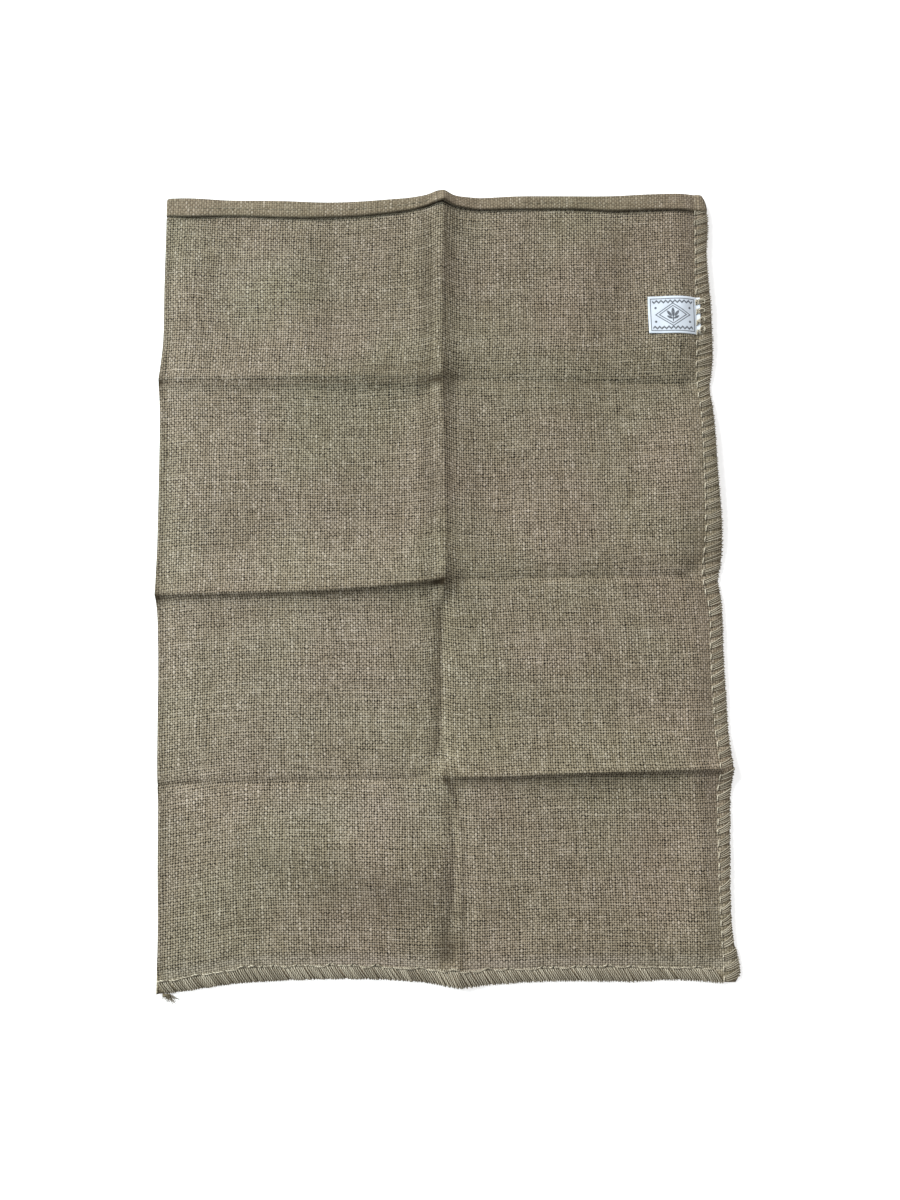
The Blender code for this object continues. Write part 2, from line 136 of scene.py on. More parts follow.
RISE_STATIONS = (0.0, 0.5, 0.999, 1.0, 1.5, 2.0)
CROSS_CREASES = {
    "crease_1": CrossCrease((5.0, 7.0, 9.0, 0.0, 0.0, 0.0), 34.0, 30.0),
    "crease_2": CrossCrease((7.0, 9.0, 9.0, 0.0, 0.0, 0.0), 44.0, 24.0),
    "crease_3": CrossCrease((0.0, 0.0, 0.0, 8.0, 9.5, 8.0), 46.0, 22.0),
}
# Where the right edge hangs clear of the table: top, bottom, height.
EDGE_LIFTS = ((352.0, 172.0, 5.0), (172.0, -4.0, 6.0), (-4.0, -150.0, 2.5), (-205.0, -362.0, 2.5))


class Run(Enum):
    """Which way a crimp runs over the sack."""

    ACROSS = 0
    DOWN = 1


@dataclass(frozen=True)
class Crimp:
    """A ridge, or with a negative height a groove, that the packing pressed into the front layer."""

    run: Run
    # Its knots: (how far along, where across, height, how far it reaches before and after that place).
    knots: tuple[tuple[float, float, float, float, float], ...]
    sharp: bool = True

    def height(self, x: Array, y: Array) -> Array:
        """What the crimp adds to the cloth.

        Args:
            x: Places across the sack.
            y: Places along it.

        Returns:
            The added height at each place.
        """
        along, across = (x, y) if self.run is Run.ACROSS else (y, x)
        at, line, height, before, after = zip(*sorted(self.knots))
        away = across - curve_through(along, at, line)
        reach = np.where(away < 0.0, np.interp(along, at, before), np.interp(along, at, after))
        nearness = np.clip(1.0 - np.abs(away) / reach, 0.0, 1.0)
        shape = nearness**2 if self.sharp else nearness**2 * (3.0 - 2.0 * nearness)
        return np.interp(along, at, height) * shape


# fmt: off
CRIMPS = (
    # The long crease stands up above the second cross crease, with its steep side to the right.
    Crimp(Run.DOWN, (
        (352, 4.0, 1.2, 12, 10), (322, 3.0, 2.2, 16, 17), (270, 1.5, 2.1, 16, 18), (213, 0.8, 2.0, 16, 18),
        (178, 0.2, 2.0, 16, 16), (150, 0.8, 1.7, 16, 13), (90, 1.5, 1.4, 16, 13), (30, 1.4, 1.4, 16, 12),
        (-2, 0.3, 1.4, 12, 9), (-16, 0.3, 0.0, 12, 8),
    )),
    # Below it the crease dips, and its left side falls into the dip.
    Crimp(Run.DOWN, (
        (-20, -3.0, 0.0, 14, 5), (-34, -2.5, -3.0, 12, 11), (-70, -3.2, -3.4, 12, 11),
        (-130, -4.0, -3.4, 13, 11), (-162, -4.6, -3.0, 13, 11), (-176, -4.2, 0.0, 15, 5),
    )),
    # Below the third cross crease it swings right, as a low welt beside a hollow.
    Crimp(Run.DOWN, (
        (-178, -3.0, 0.8, 10, 6), (-200, 4.0, 1.6, 7, 8), (-219, 8.6, 1.5, 5, 8), (-255, 11.0, 1.3, 4, 8),
        (-290, 11.0, 1.3, 4, 8), (-325, 9.5, 1.3, 4, 8), (-345, 7.5, 0.8, 6, 7),
    )),
    Crimp(Run.DOWN, (
        (-190, 0.0, 0.0, 12, 4), (-212, 4.0, -1.4, 12, 4), (-240, 6.0, -2.0, 14, 4),
        (-262, 5.5, -2.4, 18, 4), (-290, 4.5, -3.4, 22, 5), (-322, 3.0, -4.6, 22, 5),
        (-340, 2.5, -4.4, 22, 5), (-350, 2.5, -0.6, 16, 5),
    )),
    # The cross creases' own sharp edges, steep on the side towards the bottom of the sack.
    Crimp(Run.ACROSS, (
        (-258, -16.8, 1.2, 4, 10), (-180, -15.9, 2.5, 4, 14), (-100, -14.8, 2.6, 4, 14),
        (-40, -10.5, 2.6, 4, 14), (-8, -7.0, 2.8, 4, 12), (0, -6.4, 0.0, 4, 12),
    )),
    Crimp(Run.ACROSS, (
        (2, -180.2, 0.0, 3.5, 10), (9, -180.2, 2.2, 4, 10), (60, -179.4, 3.4, 4, 12),
        (122, -177.6, 3.6, 4, 12), (180, -176.6, 3.0, 4, 12), (237, -176.1, 1.6, 4, 10),
    )),
    Crimp(Run.ACROSS, (
        (-258, 177.0, 1.2, 11, 12), (-190, 177.8, 2.8, 11, 14), (-120, 177.5, 2.4, 11, 14),
        (-60, 177.4, 2.8, 11, 14), (-4, 177.2, 1.8, 11, 12), (0, 178.2, 0.0, 14, 12),
    ), sharp=False),
    # Where the cross creases only dip, they are pressed thin lines.
    Crimp(Run.ACROSS, (
        (3, 176.6, -1.8, 3, 6), (60, 174.6, -1.4, 3.5, 6), (122, 172.8, -1.6, 3.5, 7),
        (180, 171.5, -2.0, 3.5, 8), (237, 170.0, -2.0, 3.5, 9),
    )),
    Crimp(Run.ACROSS, (
        (4, -6.0, -0.8, 3, 8), (60, -6.6, -1.4, 3.5, 12), (128, -5.8, -2.6, 4, 22),
        (180, -5.8, -3.3, 4, 26), (237, -6.0, -3.0, 4, 24),
    )),
    Crimp(Run.ACROSS, ((-256, -183.8, -1.6, 3, 6), (-120, -182.2, -2.0, 3, 7), (-8, -181.2, -1.2, 3, 5))),
    # The big soft buckle across the bottom left panel.
    Crimp(Run.ACROSS, (
        (-232, -205, 0.0, 26, 30), (-190, -222, 1.6, 28, 30), (-129, -240, 3.6, 30, 34),
        (-68, -256, 5.2, 32, 42), (-25, -266, 4.8, 32, 44), (-4, -272, 1.8, 30, 36), (4, -276, 0.0, 30, 30),
    ), sharp=False),
    # Shallow swells in the upper panels.
    Crimp(Run.DOWN, (
        (330, -132, 0.0, 60, 34), (290, -130, 2.6, 60, 34), (230, -122, 2.6, 60, 34),
        (188, -116, 0.6, 60, 34),
    ), sharp=False),
    Crimp(Run.DOWN, (
        (332, 138, 0.4, 50, 36), (300, 138, 3.2, 50, 38), (250, 136, 2.8, 50, 38), (200, 132, 0.0, 50, 34),
    ), sharp=False),
)
# fmt: on


def curve_through(at: Array, xs: Sequence[float], ys: Sequence[float]) -> Array:
    """A smooth curve through the points.

    Args:
        at: Where to read it.
        xs: The points' places, in any order.
        ys: The points' values.

    Returns:
        The values at those places; past the ends the end values hold.
    """
    order = np.argsort(xs)
    xs, ys = np.asarray(xs, float)[order], np.asarray(ys, float)[order]
    slopes = np.gradient(ys, xs)
    at = np.clip(at, xs[0], xs[-1])
    i = np.clip(np.searchsorted(xs, at, side="right") - 1, 0, len(xs) - 2)
    span = xs[i + 1] - xs[i]
    t = (at - xs[i]) / span
    return (
        (2 * t**3 - 3 * t**2 + 1) * ys[i]
        + (t**3 - 2 * t**2 + t) * span * slopes[i]
        + (3 * t**2 - 2 * t**3) * ys[i + 1]
        + (t**3 - t**2) * span * slopes[i + 1]
    )


def rounded(t: Array) -> Array:
    """0 at 0, 1 at 1, level at both ends."""
    t = np.clip(t, 0.0, 1.0)
    return t * t * (3.0 - 2.0 * t)


def soft_spot(across: Array, along: Array | float, shade: tuple[float, float]) -> Array:
    """A soft spot, or a soft line where it is given only one way.

    Args:
        across: How far off its middle places are one way.
        along: How far off they are the other way.
        shade: How much it is in its middle, and half how wide it is.

    Returns:
        How much of it each place has.
    """
    much, wide = shade
    return much * np.exp(-((across / wide) ** 2) - (along / wide) ** 2)


def graded(cells: int, evenness: float = 0.3) -> Array:
    """Shares from 0 to 1, closer together towards both ends.

    Args:
        cells: How many steps.
        evenness: 1 for equal steps, less for finer ends.

    Returns:
        The cells + 1 shares.
    """
    t = np.linspace(0.0, 1.0, cells + 1)
    return evenness * t + (1.0 - evenness) * (0.5 - 0.5 * np.cos(np.pi * t))


# ---- The form of the lying sack --------------------------------------------------------------------
@dataclass(frozen=True)
class SackForm:
    """Where both layers of the sack lie, from the same lines as the sack's solid."""

    cloth: float = 1.1  # one layer and the hairs on it
    hem_turn: float = 1.9  # what the turned hem adds to a layer
    # The air between the layers.
    air_mouth: float = 5.2
    air_panel: float = 4.6
    air_standing: float = 0.8  # under a crease that stands
    air_dipping: float = 3.4
    air_seam: float = 0.4
    air_least: float = 0.05  # where a groove presses the layers together
    air_by_fold: float = 0.45  # beside the left fold, as a share
    air_reach: float = 32.0  # how far from a crease the layers take to part fully
    seam_reach: float = 24.0
    hem_relief: float = 26.0  # the back layer comes down off its hem over this length
    fold_room: float = 5.0
    lift_reach: float = 62.0
    lift_power: float = 1.6
    lift_fullness: float = 0.9  # below 1 the edge lifts over more of its length
    ridge_reach: float = 36.0
    ridge_power: float = 1.7
    standing: float = 3.0  # a crease of this height stands
    lip_share: float = 0.84  # the cloth fills this much of the lip, and its twine the rest
    swell_count: int = 26
    swell_lengths: tuple[float, float] = (55.0, 210.0)
    swell_height: float = 0.2  # of a swell of the usual length
    swell_usual: float = 130.0
    swell_clear: tuple[float, float] = (30.0, 24.0)  # they die out towards the sides and the bottom
    # The lip's section as (share of its width, height over its lowest point).
    lip_top: tuple[tuple[float, float], ...] = (
        (0.0, 2.6), (0.2, 3.15), (0.42, 3.25), (0.62, 2.95), (0.8, 2.35), (1.0, 1.6),
    )  # fmt: skip
    lip_low: tuple[tuple[float, float], ...] = ((0.0, 0.0), (0.3, 1.1), (0.7, 1.1), (1.0, 0.6))

    def down(self, y: Array, column: str) -> Array:
        """Reads one column of the table DOWN.

        Args:
            y: Places along the sack.
            column: The column's name.

        Returns:
            Its values there, straight between heights and on a smooth curve between places.
        """
        ys, values = DOWN[column]
        if column == "rise":
            return np.interp(y, ys[::-1], values[::-1])
        return curve_through(y, ys, values)

    def line(self, name: str, station: Array) -> Array:
        """How far up the sack a line lies at each station."""
        return curve_through(station, *zip(*LINES[name]))

    def station(self, x: Array, y: Array) -> Array:
        """Finds how far places are from the fold to the stitches.

        Args:
            x: Places across the sack.
            y: Places along it.

        Returns:
            Their stations, from 0 to 2.
        """
        fold, crease, seam = (self.down(y, column) for column in ("fold", "crease", "seam"))
        left, right = (x - fold) / (crease - fold), 1.0 + (x - crease) / (seam - crease)
        return np.clip(np.where(x < crease, left, right), 0.0, 2.0)

    def ridges(self, x: Array, y: Array) -> Array:
        """How far the standing creases lift the back layer.

        Args:
            x: Places across the sack.
            y: Places along it.

        Returns:
            The height of the highest of them at each place.
        """
        station = self.station(x, y)
        fade = np.clip(1.0 - np.abs(x - self.down(y, "crease")) / self.ridge_reach, 0.0, 1.0)
        height = self.down(y, "rise") * fade**self.ridge_power
        for name, crease in CROSS_CREASES.items():
            away = y - self.line(name, station)
            reach = np.where(away > 0.0, crease.above, crease.below)
            fade = np.clip(1.0 - np.abs(away) / reach, 0.0, 1.0)
            rise = np.interp(station, RISE_STATIONS, crease.heights)
            height = np.maximum(height, rise * fade**self.ridge_power)
        return height

    def edge_lift(self, x: Array, y: Array) -> Array:
        """How far the right edge hangs clear of the table.

        Args:
            x: Places across the sack.
            y: Places along it.

        Returns:
            The height at each place.
        """
        inward = np.clip((x - self.down(y, "seam")) / self.lift_reach + 1.0, 0.0, 1.0)
        lift = np.zeros_like(x)
        for top, bottom, height in EDGE_LIFTS:
            along = np.clip((top - y) / (top - bottom), 0.0, 1.0)
            lift += height * inward**self.lift_power * np.sin(np.pi * along) ** self.lift_fullness
        return lift

    def relief(self, x: Array, y: Array) -> Array:
        """How far the hem, turned under the back layer, holds it up."""
        past = np.maximum(self.line("hem", self.station(x, y)) - y, 0.0)
        return self.hem_turn * (1.0 - np.minimum(past / self.hem_relief, 1.0)) ** 2

    def underside(self, x: Array, y: Array) -> Array:
        """The height of the back layer's lower face."""
        return np.maximum(self.ridges(x, y), self.edge_lift(x, y)) + self.relief(x, y)

    def parting(self, distance: Array) -> Array:
        """0 on a crease, rising to 1 where the layers are fully apart."""
        return 1.0 - (1.0 - np.minimum(np.abs(distance) / self.air_reach, 1.0)) ** 2

    def air(self, x: Array, y: Array) -> Array:
        """The air between the two layers.

        Args:
            x: Places across the sack.
            y: Places along it.

        Returns:
            How far apart they are: most in a panel's middle, least on its creases and seams.
        """
        station = self.station(x, y)
        over = y > self.line("crease_1", station)
        most = np.where(over, self.air_mouth + self.hem_turn - self.relief(x, y), self.air_panel)
        fullness = self.parting(x - self.down(y, "crease")) * self.parting(x - self.down(y, "seam"))
        from_fold = np.maximum(x - self.down(y, "fold") - self.fold_room, 0.0)
        fullness = fullness * (self.air_by_fold + (1.0 - self.air_by_fold) * self.parting(from_fold))
        for name in ("crease_1", "crease_2", "crease_3", "stitches"):
            fullness = fullness * self.parting(y - self.line(name, station))
        standing = rounded(self.ridges(x, y) / self.standing)
        least = self.air_dipping + (self.air_standing - self.air_dipping) * standing
        sewn = np.minimum(np.abs(x - self.down(y, "seam")), np.abs(y - self.line("stitches", station)))
        least = self.air_seam + (least - self.air_seam) * rounded(sewn / self.seam_reach)
        return least + (np.maximum(most, least) - least) * fullness

    def swells(self, x: Array, y: Array) -> Array:
        """Slight waves all over the front layer.

        Args:
            x: Places across the sack.
            y: Places along it.

        Returns:
            Their height, which may be below 0.
        """
        dice = np.random.default_rng(SEED)
        waves = np.zeros_like(x)
        for _ in range(self.swell_count):
            length = dice.uniform(*self.swell_lengths)
            heading, phase = dice.uniform(0.0, np.pi), dice.uniform(0.0, 2.0 * np.pi)
            across = x * np.cos(heading) + y * np.sin(heading)
            height = self.swell_height * length / self.swell_usual
            waves += height * np.sin(2.0 * np.pi * across / length + phase)
        return waves

    def crimped(self, x: Array, y: Array) -> Array:
        """All that the packing and handling press into the front layer.

        Args:
            x: Places across the sack.
            y: Places along it.

        Returns:
            The height that they add.
        """
        near_edge = np.minimum(x - self.down(y, "fold"), self.down(y, "seam") - x)
        near_end = y - self.line("stitches", self.station(x, y))
        loose = rounded(near_edge / self.swell_clear[0]) * rounded(near_end / self.swell_clear[1])
        return sum(crimp.height(x, y) for crimp in CRIMPS) + self.swells(x, y) * loose

    def front(self, x: Array, y: Array) -> Array:
        """The height of the front layer's upper face, without the hem."""
        apart = np.maximum(self.air(x, y) + self.crimped(x, y), self.air_least)
        return self.underside(x, y) + 2.0 * self.cloth + apart

    def surface(self, x: Array, y: Array) -> Array:
        """The height of the cloth that shows from above, panel and lip alike.

        Args:
            x: Places across the sack.
            y: Places along it.

        Returns:
            The height at each place.
        """
        seam, edge = self.down(y, "seam"), self.down(y, "edge")
        share = np.clip((x - seam) / ((edge - seam) * self.lip_share), 0.0, 1.0)
        lip = self.underside(np.minimum(x, seam), y) + np.interp(share, *zip(*self.lip_top))
        return np.where(x < seam, self.front(np.minimum(x, seam), y), lip)


# ---- Meshes ----------------------------------------------------------------------------------------
def add_object(name: str, data: bpy.types.ID) -> Object:
    """Puts a mesh, a light or a camera in the scene.

    Args:
        name: The object's name.
        data: What it shows.

    Returns:
        The object.
    """
    added = bpy.data.objects.new(name, data)
    bpy.context.scene.collection.objects.link(added)
    return added


def finish_mesh(name: str, bm: bmesh.types.BMesh, material: Material) -> Object:
    """Makes a smooth-shaded piece from a bmesh, with its place in its mesh.

    Args:
        name: The piece's name.
        bm: The shape, in millimetres about the tables' origin.
        material: Its finish.

    Returns:
        The piece, riding on the sack's one body.
    """
    for vert in bm.verts:
        vert.co = [(value + shift) * MM for value, shift in zip(vert.co, TO_FRAME)]
    mesh = bpy.data.meshes.new(name)
    bm.to_mesh(mesh)
    bm.free()
    mesh.shade_smooth()
    mesh.materials.append(material)
    piece = add_object(name, mesh)
    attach(piece, BODY)
    log.info("%s: %d faces", name, len(mesh.polygons))
    return piece


def grid_mesh(points: Array, cloth: Array, fields: dict[str, Array]) -> bmesh.types.BMesh:
    """A sheet over a grid of points.

    Args:
        points: Rows by columns by xyz, with x running with the columns and y with the rows.
        cloth: Rows by columns by the place on the flat cloth, in millimetres.
        fields: Values for each point, kept as named attributes.

    Returns:
        The sheet, with the flat cloth's metres as the UV map named cloth.
    """
    rows, columns = points.shape[:2]
    bm = bmesh.new()
    bmesh.ops.create_grid(bm, x_segments=columns - 1, y_segments=rows - 1, size=0.5)
    layers = {name: bm.verts.layers.float.new(name) for name in fields}
    uv = bm.loops.layers.uv.new("cloth")
    places = {}
    for vert in bm.verts:
        place = (round((vert.co.y + 0.5) * (rows - 1)), round((vert.co.x + 0.5) * (columns - 1)))
        places[vert] = place
        vert.co = points[place]
        for name, values in fields.items():
            vert[layers[name]] = values[place]
    for face in bm.faces:
        for loop in face.loops:
            loop[uv].uv = cloth[places[loop.vert]] * MM
    return bm


class Tube(NamedTuple):
    """A strand: its centreline, and at each point its radius and its tone from 0, dark, to 1, pale."""

    path: Array
    radius: Array
    tone: Array


def tube_mesh(tubes: Iterable[Tube], sides: int, upright: Sequence[float]) -> bmesh.types.BMesh:
    """Lays many strands into one mesh.

    Args:
        tubes: The strands.
        sides: How many sides each one has.
        upright: A direction that no strand runs along.

    Returns:
        The strands, with turns and millimetres along them as the UV map named twist.
    """
    bm = bmesh.new()
    uv = bm.loops.layers.uv.new("twist")
    tone = bm.verts.layers.float.new("tone")
    for tube in tubes:
        tangent = np.gradient(tube.path, axis=0)
        tangent /= np.linalg.norm(tangent, axis=1)[:, None]
        side = np.cross(tangent, upright)
        side /= np.linalg.norm(side, axis=1)[:, None]
        over = np.cross(side, tangent)
        steps = np.linalg.norm(np.diff(tube.path, axis=0), axis=1)
        along = np.concatenate([[0.0], np.cumsum(steps)])
        last = len(tube.path) - 1
        made = bmesh.ops.create_grid(bm, x_segments=sides, y_segments=last, size=0.5)["verts"]
        spots = {}
        for vert in made:
            turn, ring = round((vert.co.x + 0.5) * sides), round((vert.co.y + 0.5) * last)
            angle = 2.0 * np.pi * turn / sides
            spots[vert] = (turn / sides, along[ring])
            out = side[ring] * np.cos(angle) + over[ring] * np.sin(angle)
            vert.co = tube.path[ring] + out * tube.radius[ring]
            vert[tone] = tube.tone[ring]
        for face in {face for vert in made for face in vert.link_faces}:
            for loop in face.loops:
                loop[uv].uv = spots[loop.vert]
        bmesh.ops.remove_doubles(bm, verts=made, dist=1e-5)
    bmesh.ops.holes_fill(bm, edges=[edge for edge in bm.edges if edge.is_boundary], sides=sides)
    bmesh.ops.recalc_face_normals(bm, faces=bm.faces)
    return bm


# ---- Finishes --------------------------------------------------------------------------------------
def linear(code: str) -> tuple[float, float, float, float]:
    """Turns an sRGB colour to the linear values that a shader wants.

    Args:
        code: The colour as a hex code.

    Returns:
        Red, green and blue, and a full alpha.
    """
    shares = (int(code[i : i + 2], 16) / 255.0 for i in (1, 3, 5))
    red, green, blue = (s / 12.92 if s <= 0.04045 else ((s + 0.055) / 1.055) ** 2.4 for s in shares)
    return (red, green, blue, 1.0)


def add_node(tree: Tree, kind: str, *inputs: object, sockets: dict | None = None, **settings: object) -> Node:
    """Adds a node.

    Args:
        tree: The material's nodes.
        kind: The node's type, without the ShaderNode in front.
        inputs: A constant, a socket or a node (for its first output) for each of its inputs in turn.
        sockets: The same for other inputs, by their name or number.
        settings: The node's own settings.

    Returns:
        The node.
    """
    node = tree.nodes.new("ShaderNode" + kind)
    for name, value in settings.items():
        setattr(node, name, value)
    for key, value in (dict(enumerate(inputs)) | (sockets or {})).items():
        if isinstance(value, Node):
            value = value.outputs[0]
        if isinstance(value, Socket):
            tree.links.new(value, node.inputs[key])
        else:
            node.inputs[key].default_value = value
    return node


def new_material(name: str, shown: dict[str, object]) -> tuple[Material, Tree, Node]:
    """Starts a material.

    Args:
        name: Its name.
        shown: Constants for its shader, by the socket's name.

    Returns:
        The material, its nodes and its shader.
    """
    material = bpy.data.materials.new(name)
    material.use_nodes = True
    shader = material.node_tree.nodes["Principled BSDF"]
    for socket, value in shown.items():
        shader.inputs[socket].default_value = value
    return material, material.node_tree, shader


@dataclass(frozen=True)
class Hessian:
    """Natural jute hessian: a plain weave of hairy, uneven single yarns with open pores between them.

    To the eye it is straw-coloured cloth pricked all over with small dark pinholes, in a fine grid that its
    over-and-under gives a slanting ripple, and streaked where a yarn is thicker or paler than its neighbours.
    """

    # The true weft pitch of 1.9 mm is too fine for the picture's own grid, so it is drawn coarser.
    warp_pitch: float = 2.16
    weft_pitch: float = 2.12
    # Half a yarn's mean width, as a share of the pitch, and what slubs and chance add to it.
    warp_width: float = 0.35
    weft_width: float = 0.235
    slub_width: float = 0.1
    odd_width: float = 0.04
    wander: float = 1.2  # how many pitches the yarns stray over a few centimetres
    over: float = 0.6  # how far a yarn bows over its neighbours, against its own thickness
    thickness: float = 0.55
    # Tones, from 0, dull, to 1, pale.
    painted_warp_light: float = 0.12  # painted light: how much paler a warp yarn is painted where it lies on top than a weft yarn is
    slub: float = 0.34
    slub_top: float = 0.5  # what the thickest slubs add to that
    odd: float = 0.1  # how much single yarns differ
    fleck: float = 0.12  # and single crossings
    blotch: float = 0.15
    band: float = 0.22  # how much runs of neighbouring yarns differ
    doubled: float = -0.18  # where more cloth lies behind
    choke: float = 0.34  # how unevenly the pores are open
    backed: float = 0.42  # how far more cloth behind fills them
    pale: str = "#B4A999"
    straw: str = "#958975"
    dull: str = "#776A56"
    rosy: str = "#FFFBFA"
    olive: str = "#FAFCF6"
    # painted shade: the pores' near black stands for the shaded inside of the sack
    pore: str = "#130E07"
    # the dark that dirt and painted shade go towards
    painted_shade_and_dirt_colour: str = "#33291A"

    def strayed(self, node: AddNode, uv: Node) -> Node:
        """Counts the yarns over the cloth, and lets them stray.

        Args:
            node: Adds a node to the material.
            uv: The place on the flat cloth, in metres.

        Returns:
            The place in yarns.
        """
        per_metre = (1.0 / (self.warp_pitch * MM), 1.0 / (self.weft_pitch * MM), 0.0)
        yarns = node("VectorMath", uv, per_metre, operation="MULTIPLY")
        runs = []
        for stretch in ((0.35, 0.05, 0.0), (0.05, 0.35, 0.0)):
            lane = node("VectorMath", yarns, stretch, operation="MULTIPLY")
            runs.append(node("TexNoise", lane, sockets={"Scale": 1.0, "Detail": 2.0}, noise_dimensions="2D"))
        stray = node("CombineXYZ", *runs)
        return node("VectorMath", stray, (self.wander, self.wander, 0.0), yarns, operation="MULTIPLY_ADD")

    def woven(self, node: AddNode, place: Node) -> tuple[Node, Node]:
        """Lays the warp and the weft over and under each other.

        Args:
            node: Adds a node to the material.
            place: The place in yarns.

        Returns:
            The height and the tone of the yarn that lies on top.
        """
        cell = node("VectorMath", place, operation="FLOOR")
        inside = node("VectorMath", place, cell, operation="SUBTRACT")
        inside = node("SeparateXYZ", node("VectorMath", inside, (0.5, 0.5, 0.0), operation="SUBTRACT"))
        cells = node("SeparateXYZ", cell)
        turns = node("Math", node("Math", *cells.outputs[:2]), np.pi, operation="MULTIPLY")
        checker = node("Math", turns, operation="COSINE")
        tops, tones = [], []
        widths, lanes = (self.warp_width, self.weft_width), ((1.0, 0.13, 0.0), (0.13, 1.0, 0.0))
        for axis, width, stretch, sign in zip((0, 1), widths, lanes, (1.0, -1.0)):
            number = node("Math", cells.outputs[axis], 71.3 * axis)  # no weft yarn is a warp yarn's twin
            dice = node("TexWhiteNoise", sockets={"W": number}, noise_dimensions="1D")
            lane = node("VectorMath", place, stretch, operation="MULTIPLY")
            slub = node("TexNoise", lane, sockets={"Scale": 1.0, "Detail": 3.0}, noise_dimensions="2D")
            least = width - 0.5 * (self.slub_width + self.odd_width)
            half = node("Math", slub, self.slub_width, least, operation="MULTIPLY_ADD")
            half = node("Math", dice, self.odd_width, half, operation="MULTIPLY_ADD")
            across = node("Math", inside.outputs[axis], half, operation="DIVIDE")
            round_off = node("Math", across, across, operation="MULTIPLY")
            swing = node("Math", inside.outputs[1 - axis], np.pi, operation="MULTIPLY")
            swing = node("Math", node("Math", swing, operation="COSINE"), checker, operation="MULTIPLY")
            bow = node("Math", swing, self.over * sign, self.thickness, operation="MULTIPLY_ADD")
            tops.append(node("Math", round_off, -self.thickness, bow, operation="MULTIPLY_ADD"))
            # Painted light: the warp's tops are painted paler and the weft's tops darker.
            tone = node("Math", slub, self.slub, self.painted_warp_light * sign, operation="MULTIPLY_ADD")
            thick = node("MapRange", slub, 0.6, 0.76, 0.0, self.slub_top)
            tones.append(node("Math", dice, self.odd, node("Math", tone, thick), operation="MULTIPLY_ADD"))
        warp_shows = node("Math", *tops, operation="GREATER_THAN")
        tone = node("Mix", warp_shows, sockets={2: tones[1], 3: tones[0]})
        fleck = node("TexWhiteNoise", cell, noise_dimensions="2D")
        tone = node("Math", fleck, self.fleck, tone, operation="MULTIPLY_ADD")
        return node("Math", *tops, 0.15, operation="SMOOTH_MAX"), tone

    def coloured(self, node: AddNode, uv: Node, tone: Node, backing: Socket, painted_light: Node) -> Node:
        """Blotches and bands the cloth, paints light on it, and turns its tone to a colour.

        Args:
            node: Adds a node to the material.
            uv: The place on the flat cloth, in metres.
            tone: The yarn's own tone.
            backing: 1 where more cloth lies behind.
            painted_light: How much paler it is painted, as light.

        Returns:
            The yarn's colour.
        """
        blotches = ((22.0, 22.0, self.blotch), (90.0, 9.0, self.band), (9.0, 90.0, self.band))
        for across, down, share in blotches:
            lane = node("VectorMath", uv, (across, down, 0.0), operation="MULTIPLY")
            blotch = node("TexNoise", lane, sockets={"Scale": 1.0, "Detail": 4.0}, noise_dimensions="2D")
            tone = node("Math", blotch, share, tone, operation="MULTIPLY_ADD")
        rest = 0.5 - (self.slub + self.blotch + 2.0 * self.band + self.odd + self.fleck) / 2.0
        tone = node("Math", node("Math", backing, self.doubled, rest, operation="MULTIPLY_ADD"), tone)
        # Painted light raises the tone here.
        colour = node("ValToRGB", node("Math", tone, painted_light))
        ramp = colour.color_ramp
        ramp.elements[0].position, ramp.elements[0].color = 0.1, linear(self.dull)
        ramp.elements[1].position, ramp.elements[1].color = 0.95, linear(self.pale)
        ramp.elements.new(0.5).color = linear(self.straw)
        return colour

    def pored(self, node: AddNode, place: Node, height: Node, backing: Socket, colour: Node) -> Node:
        """Opens the pores, painted near black as shade for the sack's inside, or showing more cloth where it
        is doubled.

        Args:
            node: Adds a node to the material.
            place: The place in yarns.
            height: The cloth's height.
            backing: 1 where more cloth lies behind.
            colour: The yarn's colour.

        Returns:
            A mix whose colour is the cloth's.
        """
        corner = node("VectorMath", node("VectorMath", place, (0.5, 0.5, 0.0)), operation="FLOOR")
        choke = node("TexWhiteNoise", corner, noise_dimensions="2D")
        # Painted shade: lower on the yarns, towards their sides, the colour runs towards the pores' dark.
        filled = node("Math", choke, self.choke, height, operation="MULTIPLY_ADD")
        filled = node("MapRange", filled, self.choke / 2.0, self.choke / 2.0 + 0.7)
        least = node("Math", backing, self.backed, operation="MULTIPLY")
        free = node("Math", 1.0, least, operation="SUBTRACT")
        filled = node("Math", filled, free, least, operation="MULTIPLY_ADD")
        return node("Mix", filled, sockets={6: linear(self.pore), 7: colour}, data_type="RGBA")

    def dirt_and_painted_shading(self, node: AddNode, uv: Node, cloth: Node, wear: Node) -> Node:
        """Tints the cloth here and there, and lays on its dirt and painted shade.

        Args:
            node: Adds a node to the material.
            uv: The place on the flat cloth, in metres.
            cloth: The clean cloth.
            wear: How dark it is painted with dirt and shade.

        Returns:
            A mix whose colour is the cloth's with its dirt and painted shade.
        """
        drift = node("TexNoise", uv, sockets={"Scale": 9.0, "Detail": 1.0}, noise_dimensions="2D")
        ends = {6: linear(self.rosy), 7: linear(self.olive)}
        tint = node("Mix", node("MapRange", drift, 0.35, 0.65), sockets=ends, data_type="RGBA")
        both = {6: cloth.outputs[2], 7: tint.outputs[2]}
        tinted = node("Mix", 1.0, sockets=both, data_type="RGBA", blend_type="MULTIPLY")
        patches = node("TexNoise", uv, sockets={"Scale": 90.0, "Detail": 3.0}, noise_dimensions="2D")
        patches = node("Math", patches, 1.2, 0.1, operation="MULTIPLY_ADD")
        patchy = node("Math", wear, patches, operation="MULTIPLY")
        darkest = node("Math", wear, 4.0, operation="POWER")
        solid = node("Math", darkest, 0.6, patchy, operation="MULTIPLY_ADD")
        return node("Mix", solid, sockets={6: tinted.outputs[2], 7: linear(self.painted_shade_and_dirt_colour)}, data_type="RGBA")

